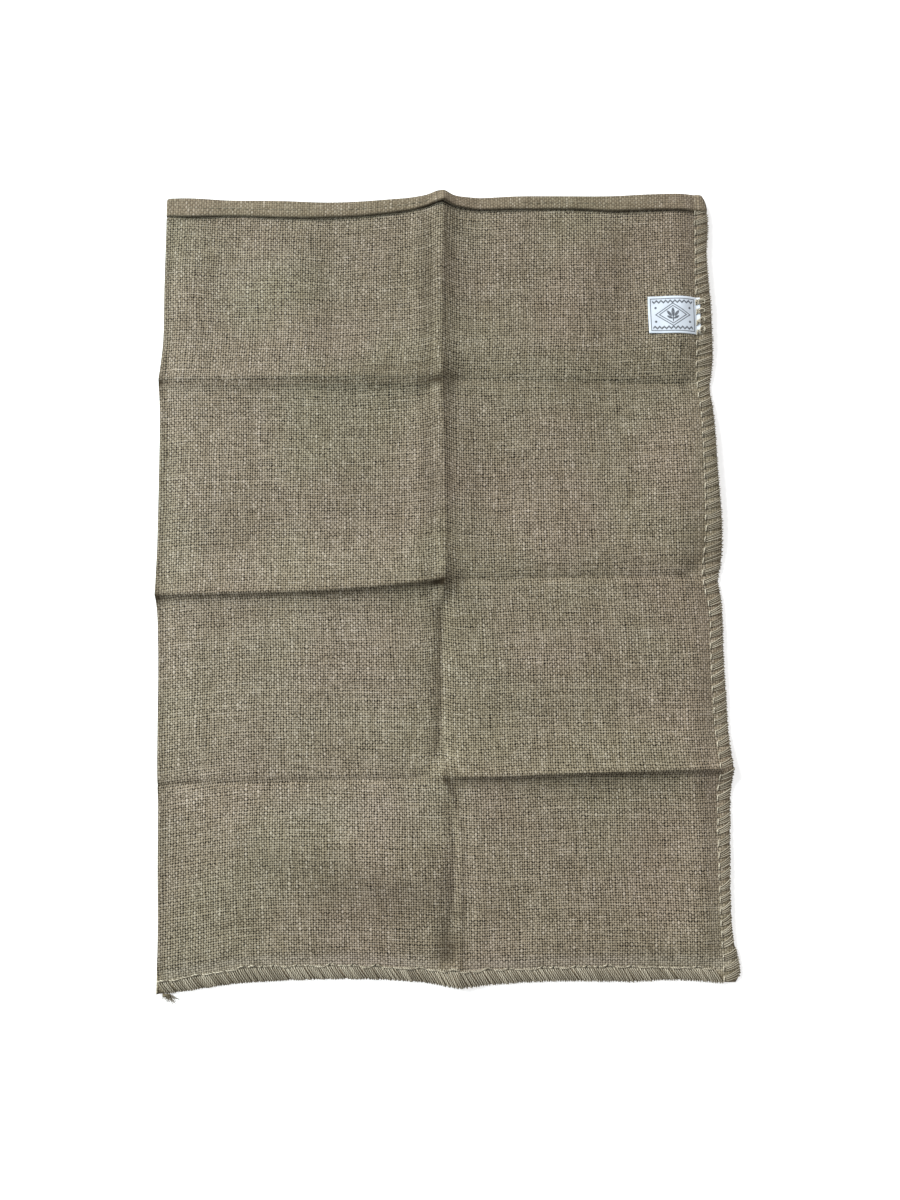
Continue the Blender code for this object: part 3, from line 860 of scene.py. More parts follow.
    def build(self) -> Material:
        """Makes the material.

        Returns:
            A material that reads the UV map named cloth and the attributes backing and wear.
        """
        shown = {"Roughness": 0.92, "Specular IOR Level": 0.15, "Sheen Weight": 0.04, "Sheen Roughness": 0.6}
        material, tree, shader = new_material("jute_hessian", shown)
        node = partial(add_node, tree)
        uv = node("UVMap", uv_map="cloth")
        backing = node("Attribute", attribute_name="backing").outputs["Fac"]
        wear = node("Attribute", attribute_name="wear").outputs["Fac"]
        # Painted light: below zero the attribute pales the cloth.
        painted_light = node("Math", node("Math", wear, 0.0, operation="MINIMUM"), -1.0, operation="MULTIPLY")
        place = self.strayed(node, uv)
        height, tone = self.woven(node, place)
        colour = self.coloured(node, uv, tone, backing, painted_light)
        cloth = self.pored(node, place, height, backing, colour)
        # Painted shade and dirt: above zero the attribute darkens the cloth.
        dirtied_and_shaded = self.dirt_and_painted_shading(node, uv, cloth, node("Math", wear, 0.0, operation="MAXIMUM"))
        hairs = node("TexNoise", uv, sockets={"Scale": 2600.0, "Detail": 2.0}, noise_dimensions="2D")
        relief = node("Math", hairs, 0.25, height, operation="MULTIPLY_ADD")
        bump = node("Bump", sockets={"Strength": 0.6, "Distance": 0.35 * MM, "Height": relief})
        tree.links.new(dirtied_and_shaded.outputs[2], shader.inputs["Base Color"])
        tree.links.new(bump.outputs[0], shader.inputs["Normal"])
        return material


@dataclass(frozen=True)
class Twine:
    """Loosely plied jute twine: straw-coloured, matt and hairy, with painted shade in the groove of the twist
    round it.
    """

    pale: str = "#C9C0AC"
    shade: str = "#5D533F"
    lay: float = 5.0  # one turn of the twist, mm
    plies: int = 2

    def build(self) -> Material:
        """Makes the material.

        Returns:
            A material that reads the UV map named twist and the attribute tone.
        """
        material, tree, shader = new_material("jute_twine", {"Roughness": 0.9, "Specular IOR Level": 0.25})
        node = partial(add_node, tree)
        twist = node("SeparateXYZ", node("UVMap", uv_map="twist"))
        place = node("TexCoord").outputs["Object"]
        fibres = node("TexNoise", place, sockets={"Scale": 900.0, "Detail": 3.0})
        turns = node("Math", twist.outputs[1], 1.0 / self.lay, twist.outputs[0], operation="MULTIPLY_ADD")
        turns = node("Math", turns, 2.0 * np.pi * self.plies, operation="MULTIPLY")
        wave = node("Math", turns, operation="SINE")
        rough = node("Math", fibres, 1.3, wave, operation="MULTIPLY_ADD")
        tone = node("Attribute", attribute_name="tone").outputs["Fac"]
        # Painted shade: the grooves of the twist are darker.
        ply = node("Math", node("MapRange", rough, -0.6, 1.5), tone, operation="MULTIPLY")
        colour = node("Mix", ply, sockets={6: linear(self.shade), 7: linear(self.pale)}, data_type="RGBA")
        bump = node("Bump", sockets={"Strength": 0.5, "Distance": 0.2 * MM, "Height": rough})
        tree.links.new(colour.outputs[2], shader.inputs["Base Color"])
        tree.links.new(bump.outputs[0], shader.inputs["Normal"])
        return material


@dataclass(frozen=True)
class PrintedCotton:
    """Smooth bluish white cotton tape with blue-black print: a frame, two zigzags, a sprig in a lozenge."""

    white: str = "#DAE2EC"
    ink: str = "#1B222C"
    # The print, in mm: its tape, and how far in, how far out or how big each thing on it is.
    width: float = 44.7
    height: float = 34.3
    frame_in: float = 2.3
    zigzags_out: float = 11.0
    zigzag_tooth: float = 2.1
    zigzags_in: float = 3.6
    lozenge: float = 14.0  # half its length
    lozenge_steep: float = 1.5
    lozenge_part: float = 1.7  # half of what lies between its two lines
    # Half of how wide the lines of the frame, the zigzags and the lozenge are, ink and its soft edge.
    lines: tuple[float, float, float] = (0.5, 1.2, 1.0)
    # The sprig's leaves on its axis, its right side's and the right side's dots: (x, y, lean in degrees,
    # half length, half width).
    leaves: tuple[tuple[float, ...], ...] = ((0.0, 2.2, 0.0, 4.2, 1.5), (0.0, -3.6, 0.0, 3.2, 0.6))
    paired: tuple[tuple[float, ...], ...] = (
        (3.3, 0.9, -38.0, 3.3, 1.3), (3.0, -2.6, -62.0, 2.8, 1.1), (15.6, -6.4, 45.0, 1.1, 1.1),
        (15.6, 6.4, 45.0, 1.1, 1.1),
    )  # fmt: skip
    patchy: tuple[float, float] = (0.7, 0.5)
    wash: float = 0.07  # the thin wash of ink inside the frame

    def lined(self, node: AddNode, across: Socket, up: Socket) -> tuple[list[Node], Node]:
        """Draws the lines.

        Args:
            node: Adds a node to the material.
            across: How far the place is from the middle, sideways.
            up: The same, up and down.

        Returns:
            The ink of the frame, the zigzags and the lozenge, and how far outside the frame the place is.
        """
        side = node("Math", across, self.width / 2.0 - self.frame_in, operation="SUBTRACT")
        end = node("Math", up, self.height / 2.0 - self.frame_in, operation="SUBTRACT")
        frame_off = node("Math", side, end, operation="MAXIMUM")
        tooth = node("Math", node("Math", across, self.zigzag_tooth, operation="PINGPONG"), self.zigzags_out)
        zigzag_off = node("Math", up, tooth, operation="SUBTRACT")
        reach = node("Math", up, self.lozenge_steep, across, operation="MULTIPLY_ADD")
        past = node("Math", reach, self.lozenge, operation="SUBTRACT")
        past = node("Math", past, operation="ABSOLUTE")
        lozenge_off = node("Math", past, self.lozenge_part, operation="SUBTRACT")
        marks = []
        for off, thick in zip((frame_off, zigzag_off, lozenge_off), self.lines):
            marks.append(node("MapRange", node("Math", off, operation="ABSOLUTE"), thick, thick * 0.5))
        # The zigzags stop short of the frame.
        stop = self.width / 2.0 - self.zigzags_in
        marks[1] = node("Math", marks[1], node("MapRange", across, stop, stop - 0.4), operation="MULTIPLY")
        return marks, frame_off

    def build(self) -> Material:
        """Makes the material.

        Returns:
            A material that reads the label's own millimetres from the UV map named cloth.
        """
        material, tree, shader = new_material("printed_cotton", {"Roughness": 0.7})
        node = partial(add_node, tree)
        uv = node("UVMap", uv_map="cloth")
        middle = (-self.width / 2.0, -self.height / 2.0, 0.0)
        place = node("VectorMath", uv, (1.0 / MM,) * 3, middle, operation="MULTIPLY_ADD")
        at = node("SeparateXYZ", node("VectorMath", place, operation="ABSOLUTE"))
        marks, frame_off = self.lined(node, *at.outputs[:2])
        mirrored = [(-x, y, -lean, long, wide) for x, y, lean, long, wide in self.paired]
        for x, y, lean, long, wide in (*self.leaves, *self.paired, *mirrored):
            turn, size = (0.0, 0.0, np.radians(lean)), (wide, long, 1.0)
            turned = node("Mapping", place, (x, y, 0.0), turn, size, vector_type="TEXTURE")
            off = node("VectorMath", turned, operation="LENGTH").outputs["Value"]
            marks.append(node("MapRange", off, 1.15, 0.85))
        ink = marks[0]
        for mark in marks[1:]:
            ink = node("Math", ink, mark, operation="MAXIMUM")
        patches = node("TexNoise", uv, sockets={"Scale": 900.0, "Detail": 2.0})
        patches = node("Math", patches, *self.patchy, operation="MULTIPLY_ADD")
        ink = node("Math", ink, patches, operation="MULTIPLY")
        ground = node("MapRange", frame_off, 0.0, -0.4, 0.0, self.wash)
        ink = node("Math", ink, ground, operation="MAXIMUM")
        colour = node("Mix", ink, sockets={6: linear(self.white), 7: linear(self.ink)}, data_type="RGBA")
        threads = node("TexWave", uv, sockets={"Scale": 900.0, "Distortion": 1.0})
        bump = node("Bump", sockets={"Strength": 0.15, "Distance": 0.1 * MM, "Height": threads})
        tree.links.new(colour.outputs[2], shader.inputs["Base Color"])
        tree.links.new(bump.outputs[0], shader.inputs["Normal"])
        return material


# ---- The sack --------------------------------------------------------------------------------------
class Row(NamedTuple):
    """One row of the cloth: between two lines, how far in front of the body, and how far round the edge."""

    above: str
    below: str
    share: float
    off: float = 0.0
    inside: float = 0.0
    lip: float = 0.0


class Columns(NamedTuple):
    """The cloth's columns, from the back's side lip round the left fold to the front's."""

    station: Array
    lip: Array  # how far over the side lip
    face: Array  # 1 on the front, -1 on the back and 0 round the fold
    angle: Array  # how far round the fold, from pi underneath to 0 on top


class PaintedSpot(NamedTuple):
    """A soft place painted darker with shade and dirt, or with a negative much, paler with painted light."""

    x: float
    y: float
    wide: float
    long: float
    much: float


@dataclass(frozen=True)
class SackCloth:
    """The sack's one cloth, from the tucked edge of its hem to its bottom lip, and round its left fold."""

    form: SackForm
    thickness: float = 0.95
    turned: float = 0.97  # how far the hem's outer ply lies off the body
    hem_depth: float = 16.0
    length: float = 694.0
    front_cells: int = 58
    back_cells: int = 22
    fold_cells: int = 8
    lip_cells: int = 5
    band_cells: tuple[int, ...] = (36, 42, 40, 40)
    # The hem's rows, as shares of its depth: up its inside, round the mouth, down its outside and in
    # under it. Round the mouth and under it each has how far off the body it lies, as a share of the whole.
    hem_inside: tuple[float, ...] = (1.0, 0.8, 0.5, 0.2, 0.1)
    hem_round: tuple[tuple[float, float], ...] = ((0.06, 0.03), (0.052, 0.3), (0.052, 0.65), (0.06, 0.93))
    hem_outside: tuple[float, ...] = (0.1, 0.2, 0.35, 0.5, 0.65, 0.8, 0.88, 0.93)
    hem_tuck: tuple[tuple[float, float], ...] = ((0.945, 0.97), (0.945, 0.95), (0.9, 0.92), (0.6, 0.92))
    hem_from: float = 0.3  # the cloth counts as hem where it is further off the body
    mouth_lift: float = 2.6  # the hem's lower edge gapes this much over the long crease
    mouth_lift_reach: float = 14.0
    mouth_lift_power: float = 1.5
    gape: float = 0.6  # and about this much elsewhere
    gape_waves: tuple[tuple[float, float, float], ...] = ((0.45, 23.0, 0.0), (0.35, 9.0, 1.0))
    gape_ends: tuple[float, float] = (12.0, 8.0)
    # The seam's allowance inside the sack, by the side and by the bottom, and how far it shows through.
    allowance: tuple[float, float] = (12.0, 9.0)
    turned_in: float = 0.35
    # Painted light: how much paler the cloth is painted by the stitches, at the bottom and at the side.
    painted_light_by_stitches: tuple[float, float] = (0.3, 0.08)
    between: float = 0.4  # painted shade: how dark the cloth is painted between the bottom's strands
    # Painted shade, with some dirt on the creases: how dark the cloth is by the left fold, the long crease,
    # the cross creases, where they cross and, as painted shadow, under the hem, and half how wide.
    by_fold: tuple[float, float] = (0.5, 6.0)
    by_long: tuple[float, float] = (0.1, 4.0)
    by_cross: tuple[float, float] = (0.2, 3.0)
    at_crossing: tuple[float, float] = (0.25, 9.0)
    under_hem: tuple[float, float] = (0.8, 0.9)
    # How far below each cross crease its line of dirt and painted shade lies, and how dark the painted shade
    # at the foot of its standing half is.
    dirt_and_shade_line: tuple[float, ...] = (4.0, 1.0, 1.5)
    shade_at_foot: tuple[float, ...] = (0.2, 0.35, 0.2)
    # Soft spots of painted shade and dirt, and with a negative much, of painted light.
    dirt_and_painted_shading: tuple[PaintedSpot, ...] = (
        PaintedSpot(2.0, -214.0, 6.0, 34.0, 0.2), PaintedSpot(0.0, -326.0, 9.0, 30.0, 0.4),
        PaintedSpot(-3.0, -334.0, 7.0, 18.0, 0.45), PaintedSpot(8.0, -296.0, 6.0, 50.0, 0.25),
        PaintedSpot(-70.0, -282.0, 56.0, 22.0, 0.3), PaintedSpot(-60.0, -206.0, 85.0, 24.0, -0.13),
        PaintedSpot(-130.0, -95.0, 110.0, 60.0, -0.06), PaintedSpot(-11.0, 270.0, 10.0, 80.0, 0.5),
        PaintedSpot(-10.0, 80.0, 10.0, 90.0, 0.45), PaintedSpot(10.0, 270.0, 8.0, 80.0, 0.16),
        PaintedSpot(1.0, -100.0, 5.0, 66.0, 0.2), PaintedSpot(226.0, 20.0, 14.0, 26.0, 0.25),
        PaintedSpot(-40.0, 188.0, 46.0, 8.0, 0.2), PaintedSpot(122.0, 164.0, 120.0, 11.0, 0.12),
        PaintedSpot(150.0, 265.0, 90.0, 70.0, 0.08),
    )  # fmt: skip

    def rows(self) -> list[Row]:
        """Lists the cloth's rows.

        Returns:
            The rows, from the bottom lip up, over the mouth, down the outside of the hem and in under it.
        """
        turned, wall, filled = self.turned, self.form.hem_turn, self.form.lip_share
        found = [Row("stitches", "edge", s * filled, lip=s) for s in graded(self.lip_cells, 1.0)[:0:-1]]
        bands = ("hem", "crease_1", "crease_2", "crease_3", "stitches")
        for above, below, cells in reversed(list(zip(bands, bands[1:], self.band_cells))):
            found += [Row(above, below, share) for share in graded(cells)[:0:-1]]
        hem = [(share, 0.0, wall) for share in self.hem_inside]
        hem += [(share, off * turned, wall - off * turned) for share, off in self.hem_round]
        hem += [(share, turned, wall - turned) for share in self.hem_outside]
        hem += [(share, off * turned, wall - turned) for share, off in self.hem_tuck]
        return found + [Row("mouth", "hem", *row) for row in hem]

    def columns(self) -> Columns:
        """Lists the cloth's columns.

        Returns:
            The columns, from the back's lip to the front's.
        """
        front, back = (
            np.concatenate([graded(cells), 1.0 + graded(cells)[1:]])
            for cells in (self.front_cells, self.back_cells)
        )
        lip = graded(self.lip_cells, 1.0)[1:]
        turns = np.linspace(np.pi, 0.0, self.fold_cells + 1)[1:-1]
        at_lip, fold = np.full(len(lip), 2.0), 0.0 * turns
        station = np.concatenate([at_lip, back[::-1], fold, front, at_lip])
        lips = np.concatenate([lip[::-1], 0.0 * back, fold, 0.0 * front, lip])
        face = np.concatenate([-np.ones(len(lip) + len(back)), fold, np.ones(len(front) + len(lip))])
        angle = np.zeros(len(station))
        angle[face == 0.0] = turns
        return Columns(station, lips, face, angle)

    def lay(self) -> tuple[Array, Array, dict[str, Array]]:
        """Works out where every point of the cloth lies.

        Returns:
            The points, their places on the flat cloth, and the backing and the painted shading and dirt at
            each.
        """
        form, rows, columns = self.form, self.rows(), self.columns()
        station, face = columns.station, columns.face
        share, off, inside, low_lip = (
            np.array([getattr(row, name) for row in rows])[:, None]
            for name in ("share", "off", "inside", "lip")
        )
        above = np.array([form.line(row.above, station) for row in rows])
        below = np.array([form.line(row.below, station) for row in rows])
        y = above + (below - above) * share
        fold, crease, seam, edge = (form.down(y, name) for name in ("fold", "crease", "seam", "edge"))

        # Each row's fold, from the heights of the two layers beside it.
        left = int(np.flatnonzero(face == 0.0)[0])
        y_left, fold_left = y[:, left : left + 1], fold[:, left : left + 1]
        near = fold_left + form.fold_room
        low, high = form.underside(near, y_left) - off, form.front(near, y_left) + off
        half, middle = (high - low) / 2.0, (high + low) / 2.0
        start = fold + inside + half
        left_panel = start + (crease - start) * station
        right_panel = crease + (seam - crease) * (station - 1.0)
        x = np.where(station < 1.0, left_panel, right_panel)

        foot = form.underside(np.minimum(x, seam), y)
        sewn = np.maximum(columns.lip, low_lip)
        top = form.front(np.maximum(x, fold + form.fold_room), y)
        top = np.where(sewn > 0.0, foot + np.interp(sewn, *zip(*form.lip_top)), top)
        x = x + columns.lip * form.lip_share * (edge - seam)
        z_front = top + off + self.gaping(x, y) * (off > 0.5 * self.turned) * rounded(share)
        z_back = foot + np.interp(sewn, *zip(*form.lip_low)) - off
        z = np.where(face > 0.0, z_front, z_back)
        turned = np.broadcast_to(face == 0.0, z.shape)
        x = np.where(turned, fold_left + inside + half * (1.0 - np.sin(columns.angle)), x)
        z = np.where(turned, middle + half * np.cos(columns.angle), z)

        # Along the flat cloth the yarns run on round the fold, over the mouth and under the hem.
        across = face * (x - start + np.pi / 2.0 * half)
        across = np.where(turned, (np.pi / 2.0 - columns.angle) * half, across)
        mouth, stitches = form.line("mouth", station), form.line("stitches", station)
        tucked = np.arange(len(rows))[:, None] >= len(rows) - len(self.hem_tuck)
        hem = -self.hem_depth * np.where(tucked, 2.0 - share, share)
        down = np.where(off > self.hem_from, hem, (mouth - y) / (mouth - stitches) * self.length)
        points, flat = np.stack([x, y, z], axis=-1), np.stack([across, down], axis=-1)
        return points, flat, self.shading(x, y, columns, sewn, low_lip)

    def gaping(self, x: Array, y: Array) -> Array:
        """How far the hem's lower edge stands off the cloth.

        Args:
            x: Places across the sack.
            y: Places along it.

        Returns:
            The gap at each place.
        """
        fold, crease, seam = (self.form.down(y, name) for name in ("fold", "crease", "seam"))
        lift = np.clip(1.0 - np.abs(x - crease) / self.mouth_lift_reach, 0.0, 1.0) ** self.mouth_lift_power
        waves = 1.0 + sum(much * np.sin(x / reach + phase) for much, reach, phase in self.gape_waves)
        ends = rounded((x - fold - 3.0) / self.gape_ends[0]) * rounded((seam - x) / self.gape_ends[1])
        return self.mouth_lift * lift + self.gape * waves * ends

    def shading(self, x: Array, y: Array, columns: Columns, sewn: Array, low_lip: Array) -> dict[str, Array]:
        """What the hessian needs to know of each point.

        Args:
            x: The points' places across the sack.
            y: Their places along it.
            columns: The cloth's columns.
            sewn: How far over either lip each point is.
            low_lip: How far over the bottom lip each row is.

        Returns:
            Whether more cloth lies behind, as backing, and the painted shade and dirt, below zero the painted
            light, as wear.
        """
        form, station = self.form, columns.station
        from_seam, from_stitches = x - form.down(y, "seam"), form.line("stitches", station) - y
        side, bottom = self.allowance
        turned_in = self.turned_in * rounded(np.maximum(from_seam + side, from_stitches + bottom) / 3.0)
        on_lip = rounded(sewn * 3.0)
        backing = np.maximum(np.maximum(on_lip, turned_in), (y > form.line("hem", station)) * 1.0)
        # Painted light: the cloth is painted paler near the stitches.
        pale_low, pale_side = self.painted_light_by_stitches
        painted_light_by_stitches = pale_low * rounded((from_stitches + 13.0) / 6.0)
        painted_light_by_stitches = painted_light_by_stitches + pale_side * rounded((from_seam + side) / 5.0)
        # Painted shade between the bottom lip's strands.
        between = self.between * rounded(low_lip * 3.0)
        return {"backing": backing, "wear": self.wear(x, y) * (1.0 - on_lip) - painted_light_by_stitches + between}

    def wear(self, x: Array, y: Array) -> Array:
        """How dark the cloth is painted with shade and dirt.

        Args:
            x: Places across the sack.
            y: Places along it.

        Returns:
            0 where it is plain, up to 1 where it is darkest, and below 0 where painted light makes it paler.
        """
        form = self.form
        station = form.station(x, y)
        from_crease = x - form.down(y, "crease")
        left = from_crease < 0.0
        # Painted shade, with some dirt, along the long crease and by the left fold.
        dark = soft_spot(from_crease, 0.0, self.by_long)
        dark = dark + soft_spot(x - form.down(y, "fold"), 0.0, self.by_fold)
        standing = (left, left, ~left)
        for name, shift, half, much in zip(CROSS_CREASES, self.dirt_and_shade_line, standing, self.shade_at_foot):
            away = y - form.line(name, station)
            dark = dark + soft_spot(away + shift, 0.0, self.by_cross)
            dark = dark + soft_spot(from_crease, away + shift, self.at_crossing)
            # Painted shade at the foot of each crease's standing half.
            foot = np.exp(-(((away + 3.5) / 3.0) ** 2)) + 0.6 * rounded(1.0 - abs(away - 3.0) / 12.0)
            dark = dark + much * half * foot
        # Soft spots of painted shade and dirt, and where negative, of painted light.
        for painted_spot in self.dirt_and_painted_shading:
            off = ((x - painted_spot.x) / painted_spot.wide) ** 2 + ((y - painted_spot.y) / painted_spot.long) ** 2
            dark = dark + painted_spot.much * np.exp(-off)
        # Painted shadow under the hem's lower edge.
        dark = dark + soft_spot(y - form.line("hem", station) - 0.1, 0.0, self.under_hem)
        return np.clip(dark, -0.5, 1.0)

    def build(self, material: Material) -> Object:
        """Args:
            material: The hessian.

        Returns:
            The piece.
        """
        points, flat, fields = self.lay()
        piece = finish_mesh("sack_cloth", grid_mesh(points, flat, fields), material)
        ply = piece.modifiers.new("cloth_thickness", "SOLIDIFY")
        ply.thickness, ply.offset = self.thickness * MM, -1.0
        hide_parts("sack")
        return piece


# ---- Oversewing ------------------------------------------------------------------------------------
class Seam(Enum):
    """The two oversewn edges."""

    SIDE = "side"
    BOTTOM = "bottom"


class Hand(NamedTuple):
    """How one edge is sewn: its first and last hole, the strands of a stitch, and how they lie, in mm."""

    first: float
    last: float
    strands: int
    slant: float  # how far a stitch runs along the seam on its way to the edge
    start_gap: float  # how far apart its strands leave the hole
    end_gap: float  # how far apart they reach the edge
    bend: float  # above 1 they leave the hole square and lean later
    radius: float
    dash: float  # how long the pale stretch of thread at each hole is
    sway: float  # how far it strays, as a share of the lip's width
    gloss: float  # how pale it is


@dataclass(frozen=True)
class Oversewing:
    """Many-stranded jute twine sewn over and over an edge, from a line of holes round the lip and back."""

    form: SackForm
    pitch: float = 9.6
    side: Hand = Hand(-356.5, 348.0, 4, 6.4, 1.3, 2.3, 1.35, 0.42, 5.8, 0.06, 1.4)
    bottom: Hand = Hand(-246.0, 232.0, 5, 8.6, 1.85, 1.9, 1.0, 0.56, 10.6, 0.2, 0.9)
    # One stitch in section, from its hole over the lip and back under it: (share of its width, height).
    over_lip: tuple[tuple[float, float], ...] = (
        (-0.05, 2.0), (0.02, 3.2), (0.18, 3.72), (0.4, 3.78), (0.6, 3.45), (0.78, 2.8), (0.9, 1.9),
        (0.9, 0.85),
    )  # fmt: skip
    under_lip: tuple[tuple[float, float], ...] = ((0.7, 0.78), (0.4, 0.78), (0.0, 0.78))
    hem_lift: float = 0.45  # the twine runs higher by this share over the hem
    hem_ramp: tuple[float, float] = (2.0, 4.0)  # from this far below the hem, and over this length
    bottom_at: float = -352.0  # how far up the sack the bottom seam's stations are read
    sides: int = 6
    # How uneven the holes, a stitch's slant and the two ends of its strands are, to either side.
    hole_stray: float = 0.7
    slant_stray: float = 0.8
    start_stray: float = 0.3
    end_stray: float = 0.5
    # From least to most, how a strand differs in height, in reach, in thickness and in tone.
    lifts: tuple[float, float] = (-0.2, 0.25)
    reaches: tuple[float, float] = (-0.03, 0.01)
    thicknesses: tuple[float, float] = (0.7, 1.25)
    tones: tuple[float, float] = (0.5, 1.3)
    tapered: float = 0.6  # its ends, as a share of its thickness
    shaded: float = 0.3  # painted shade: how much darker a strand is painted towards the lip's edge
    # The thread at a hole: its lowest height, its hump, its thinnest and what its middle adds, as shares
    # of a strand's radius, how its paleness differs, where it strays and how it leans.
    thread_low: float = 2.9
    thread_hump: float = 1.25
    thread_thin: float = 0.8
    thread_full: float = 0.85
    thread_pales: tuple[float, float] = (0.75, 1.1)
    thread_strays: tuple[float, float] = (-1.0, 0.3)
    thread_lean: float = 0.03

    def over(self, seam: Seam, along: Array, share: Array, height: Array) -> Array:
        """Places on or round a lip.

        Args:
            seam: Which edge.
            along: y on the side seam, x on the bottom one.
            share: How far over the lip, from its holes at 0 to its edge at 1.
            height: The height over the lip's lowest point.

        Returns:
            The points.
        """
        form = self.form
        if seam is Seam.SIDE:
            hole, edge = form.down(along, "seam"), form.down(along, "edge")
            below, length = self.hem_ramp
            in_hem = rounded((along - form.line("hem", np.full_like(along, 2.0)) + below) / length)
            foot = form.underside(hole, along) - in_hem * form.hem_turn
            height = foot + height * (1.0 + self.hem_lift * in_hem)
            return np.stack([hole + share * (edge - hole), along, height], axis=-1)
        station = form.station(along, np.full_like(along, self.bottom_at))
        hole, edge = form.line("stitches", station), form.line("edge", station)
        return np.stack([along, hole + share * (edge - hole), form.underside(along, hole) + height], axis=-1)

    def stitches(self, seam: Seam, hand: Hand, dice: Dice) -> list[Tube]:
        """All the stitches of one seam.

        Args:
            seam: Which edge.
            hand: How it is sewn.
            dice: Where the unevenness comes from.

        Returns:
            Their strands, and the stretch of twine between each two holes.
        """
        tubes = []
        share, height = (np.array(column) for column in zip(*self.over_lip, *self.under_lip))
        over = np.clip(share, 0.0, 1.0)
        returning = np.arange(len(share)) >= len(self.over_lip)
        step = np.linspace(-0.5, 0.5, 7)
        hump = np.cos(np.pi * step)
        for hole in np.arange(hand.first, hand.last, self.pitch):
            hole = hole + dice.uniform(-self.hole_stray, self.hole_stray)
            run = hand.slant + dice.uniform(-self.slant_stray, self.slant_stray)
            for strand in range(hand.strands):
                spread = strand - (hand.strands - 1) / 2.0
                start = spread * hand.start_gap + dice.uniform(-self.start_stray, self.start_stray)
                end = run + spread * hand.end_gap + dice.uniform(-self.end_stray, self.end_stray)
                back = end + (self.pitch - end) * (1.0 - over)
                place = np.where(returning, back, start + (end - start) * over**hand.bend)
                lift = dice.uniform(*self.lifts) * np.sin(np.pi * over) * ~returning
                path = self.over(seam, hole + place, share + dice.uniform(*self.reaches), height + lift)
                thick = hand.radius * dice.uniform(*self.thicknesses) * np.ones(len(path))
                thick[[0, -1]] *= self.tapered
                # Painted shade: strands darken towards the lip's edge.
                tone = dice.uniform(*self.tones) * (1.0 - self.shaded * rounded((over - 0.7) / 0.3))
                tubes.append(Tube(path, thick, tone))
            # The thread itself shows between this hole and the next, and dives into both.
            sway = dice.uniform(*self.thread_strays) * hand.sway * hump
            above = self.thread_low + self.thread_hump * hump**0.5
            path = self.over(seam, hole + step * hand.dash, sway + self.thread_lean * step, above)
            thick = hand.radius * (self.thread_thin + self.thread_full * dice.uniform(*self.tones) * hump)
            tubes.append(Tube(path, thick, np.full(7, hand.gloss * dice.uniform(*self.thread_pales))))
        return tubes

    def build(self, material: Material) -> list[Object]:
        """Makes the twine of both seams.

        Args:
            material: The twine.

        Returns:
            One piece for each seam.
        """
        dice = np.random.default_rng(SEED + 1)
        seams = ((Seam.SIDE, self.side, (0.0, 1.0, 0.0)), (Seam.BOTTOM, self.bottom, (1.0, 0.0, 0.0)))
        pieces = []
        for seam, hand, upright in seams:
            mesh = tube_mesh(self.stitches(seam, hand, dice), self.sides, upright)
            pieces.append(finish_mesh(f"oversewing_{seam.value}", mesh, material))
        return pieces


# ---- Stitches, label, tail and hairs ---------------------------------------------------------------
class StrandWork(ABC):
    """A piece made of level strands alone."""

    name: ClassVar[str]
    seed: ClassVar[int]
    sides: ClassVar[int] = 5

    @abstractmethod
    def strands(self, dice: Dice) -> list[Tube]:
        """The piece's strands, as uneven as the dice make them."""

    def build(self, material: Material) -> Object:
        """Makes the piece.

        Args:
            material: What its strands are.

        Returns:
            The piece.
        """
        tubes = self.strands(np.random.default_rng(SEED + self.seed))
        return finish_mesh(self.name, tube_mesh(tubes, self.sides, (0.0, 0.0, 1.0)), material)


@dataclass(frozen=True)
class HemStitching(StrandWork):
    """The row of thread that holds the hem down, on the front and on the back."""

    name: ClassVar[str] = "hem_stitching"
    seed: ClassVar[int] = 2
    form: SackForm
    cloth: SackCloth
    first: float = -238.0
    last: float = 228.0
    stitch: float = 4.6
    pitch: float = 6.4
    radius: float = 0.32
    share: float = 0.56  # how far down the hem the row lies
    row_at: float = 340.0  # about how far up the sack that is
    sink: float = 0.75  # how far a stitch's ends sink in
    tones: tuple[float, float] = (0.2, 0.7)

    def strands(self, dice: Dice) -> list[Tube]:
        """Works out the stitches.

        Args:
            dice: Where their unevenness comes from.

        Returns:
            One for the front and one for the back of each stitch.
        """
        tubes = []
        step = np.linspace(0.0, 1.0, 5)
        dip = 0.3 - self.sink * (1.0 - np.sin(np.pi * step) ** 0.5)
        visible = self.cloth.turned + self.cloth.thickness
        for start in np.arange(self.first, self.last, self.pitch):
            x = start + step * (self.stitch + dice.uniform(-0.5, 0.5))
            station = self.form.station(x, np.full_like(x, self.row_at))
            mouth, hem = self.form.line("mouth", station), self.form.line("hem", station)
            y = mouth + (hem - mouth) * self.share + dice.uniform(-0.25, 0.25)
            above = self.form.front(x, y) + visible + self.cloth.gape * 0.5 + dip * 0.6
            beneath = self.form.underside(x, y) - visible + 0.4 - dip * 0.2
            for z in (above, beneath):
                path = np.stack([x, y, z], axis=-1)
                tubes.append(Tube(path, np.full(5, self.radius), np.full(5, dice.uniform(*self.tones))))
        return tubes


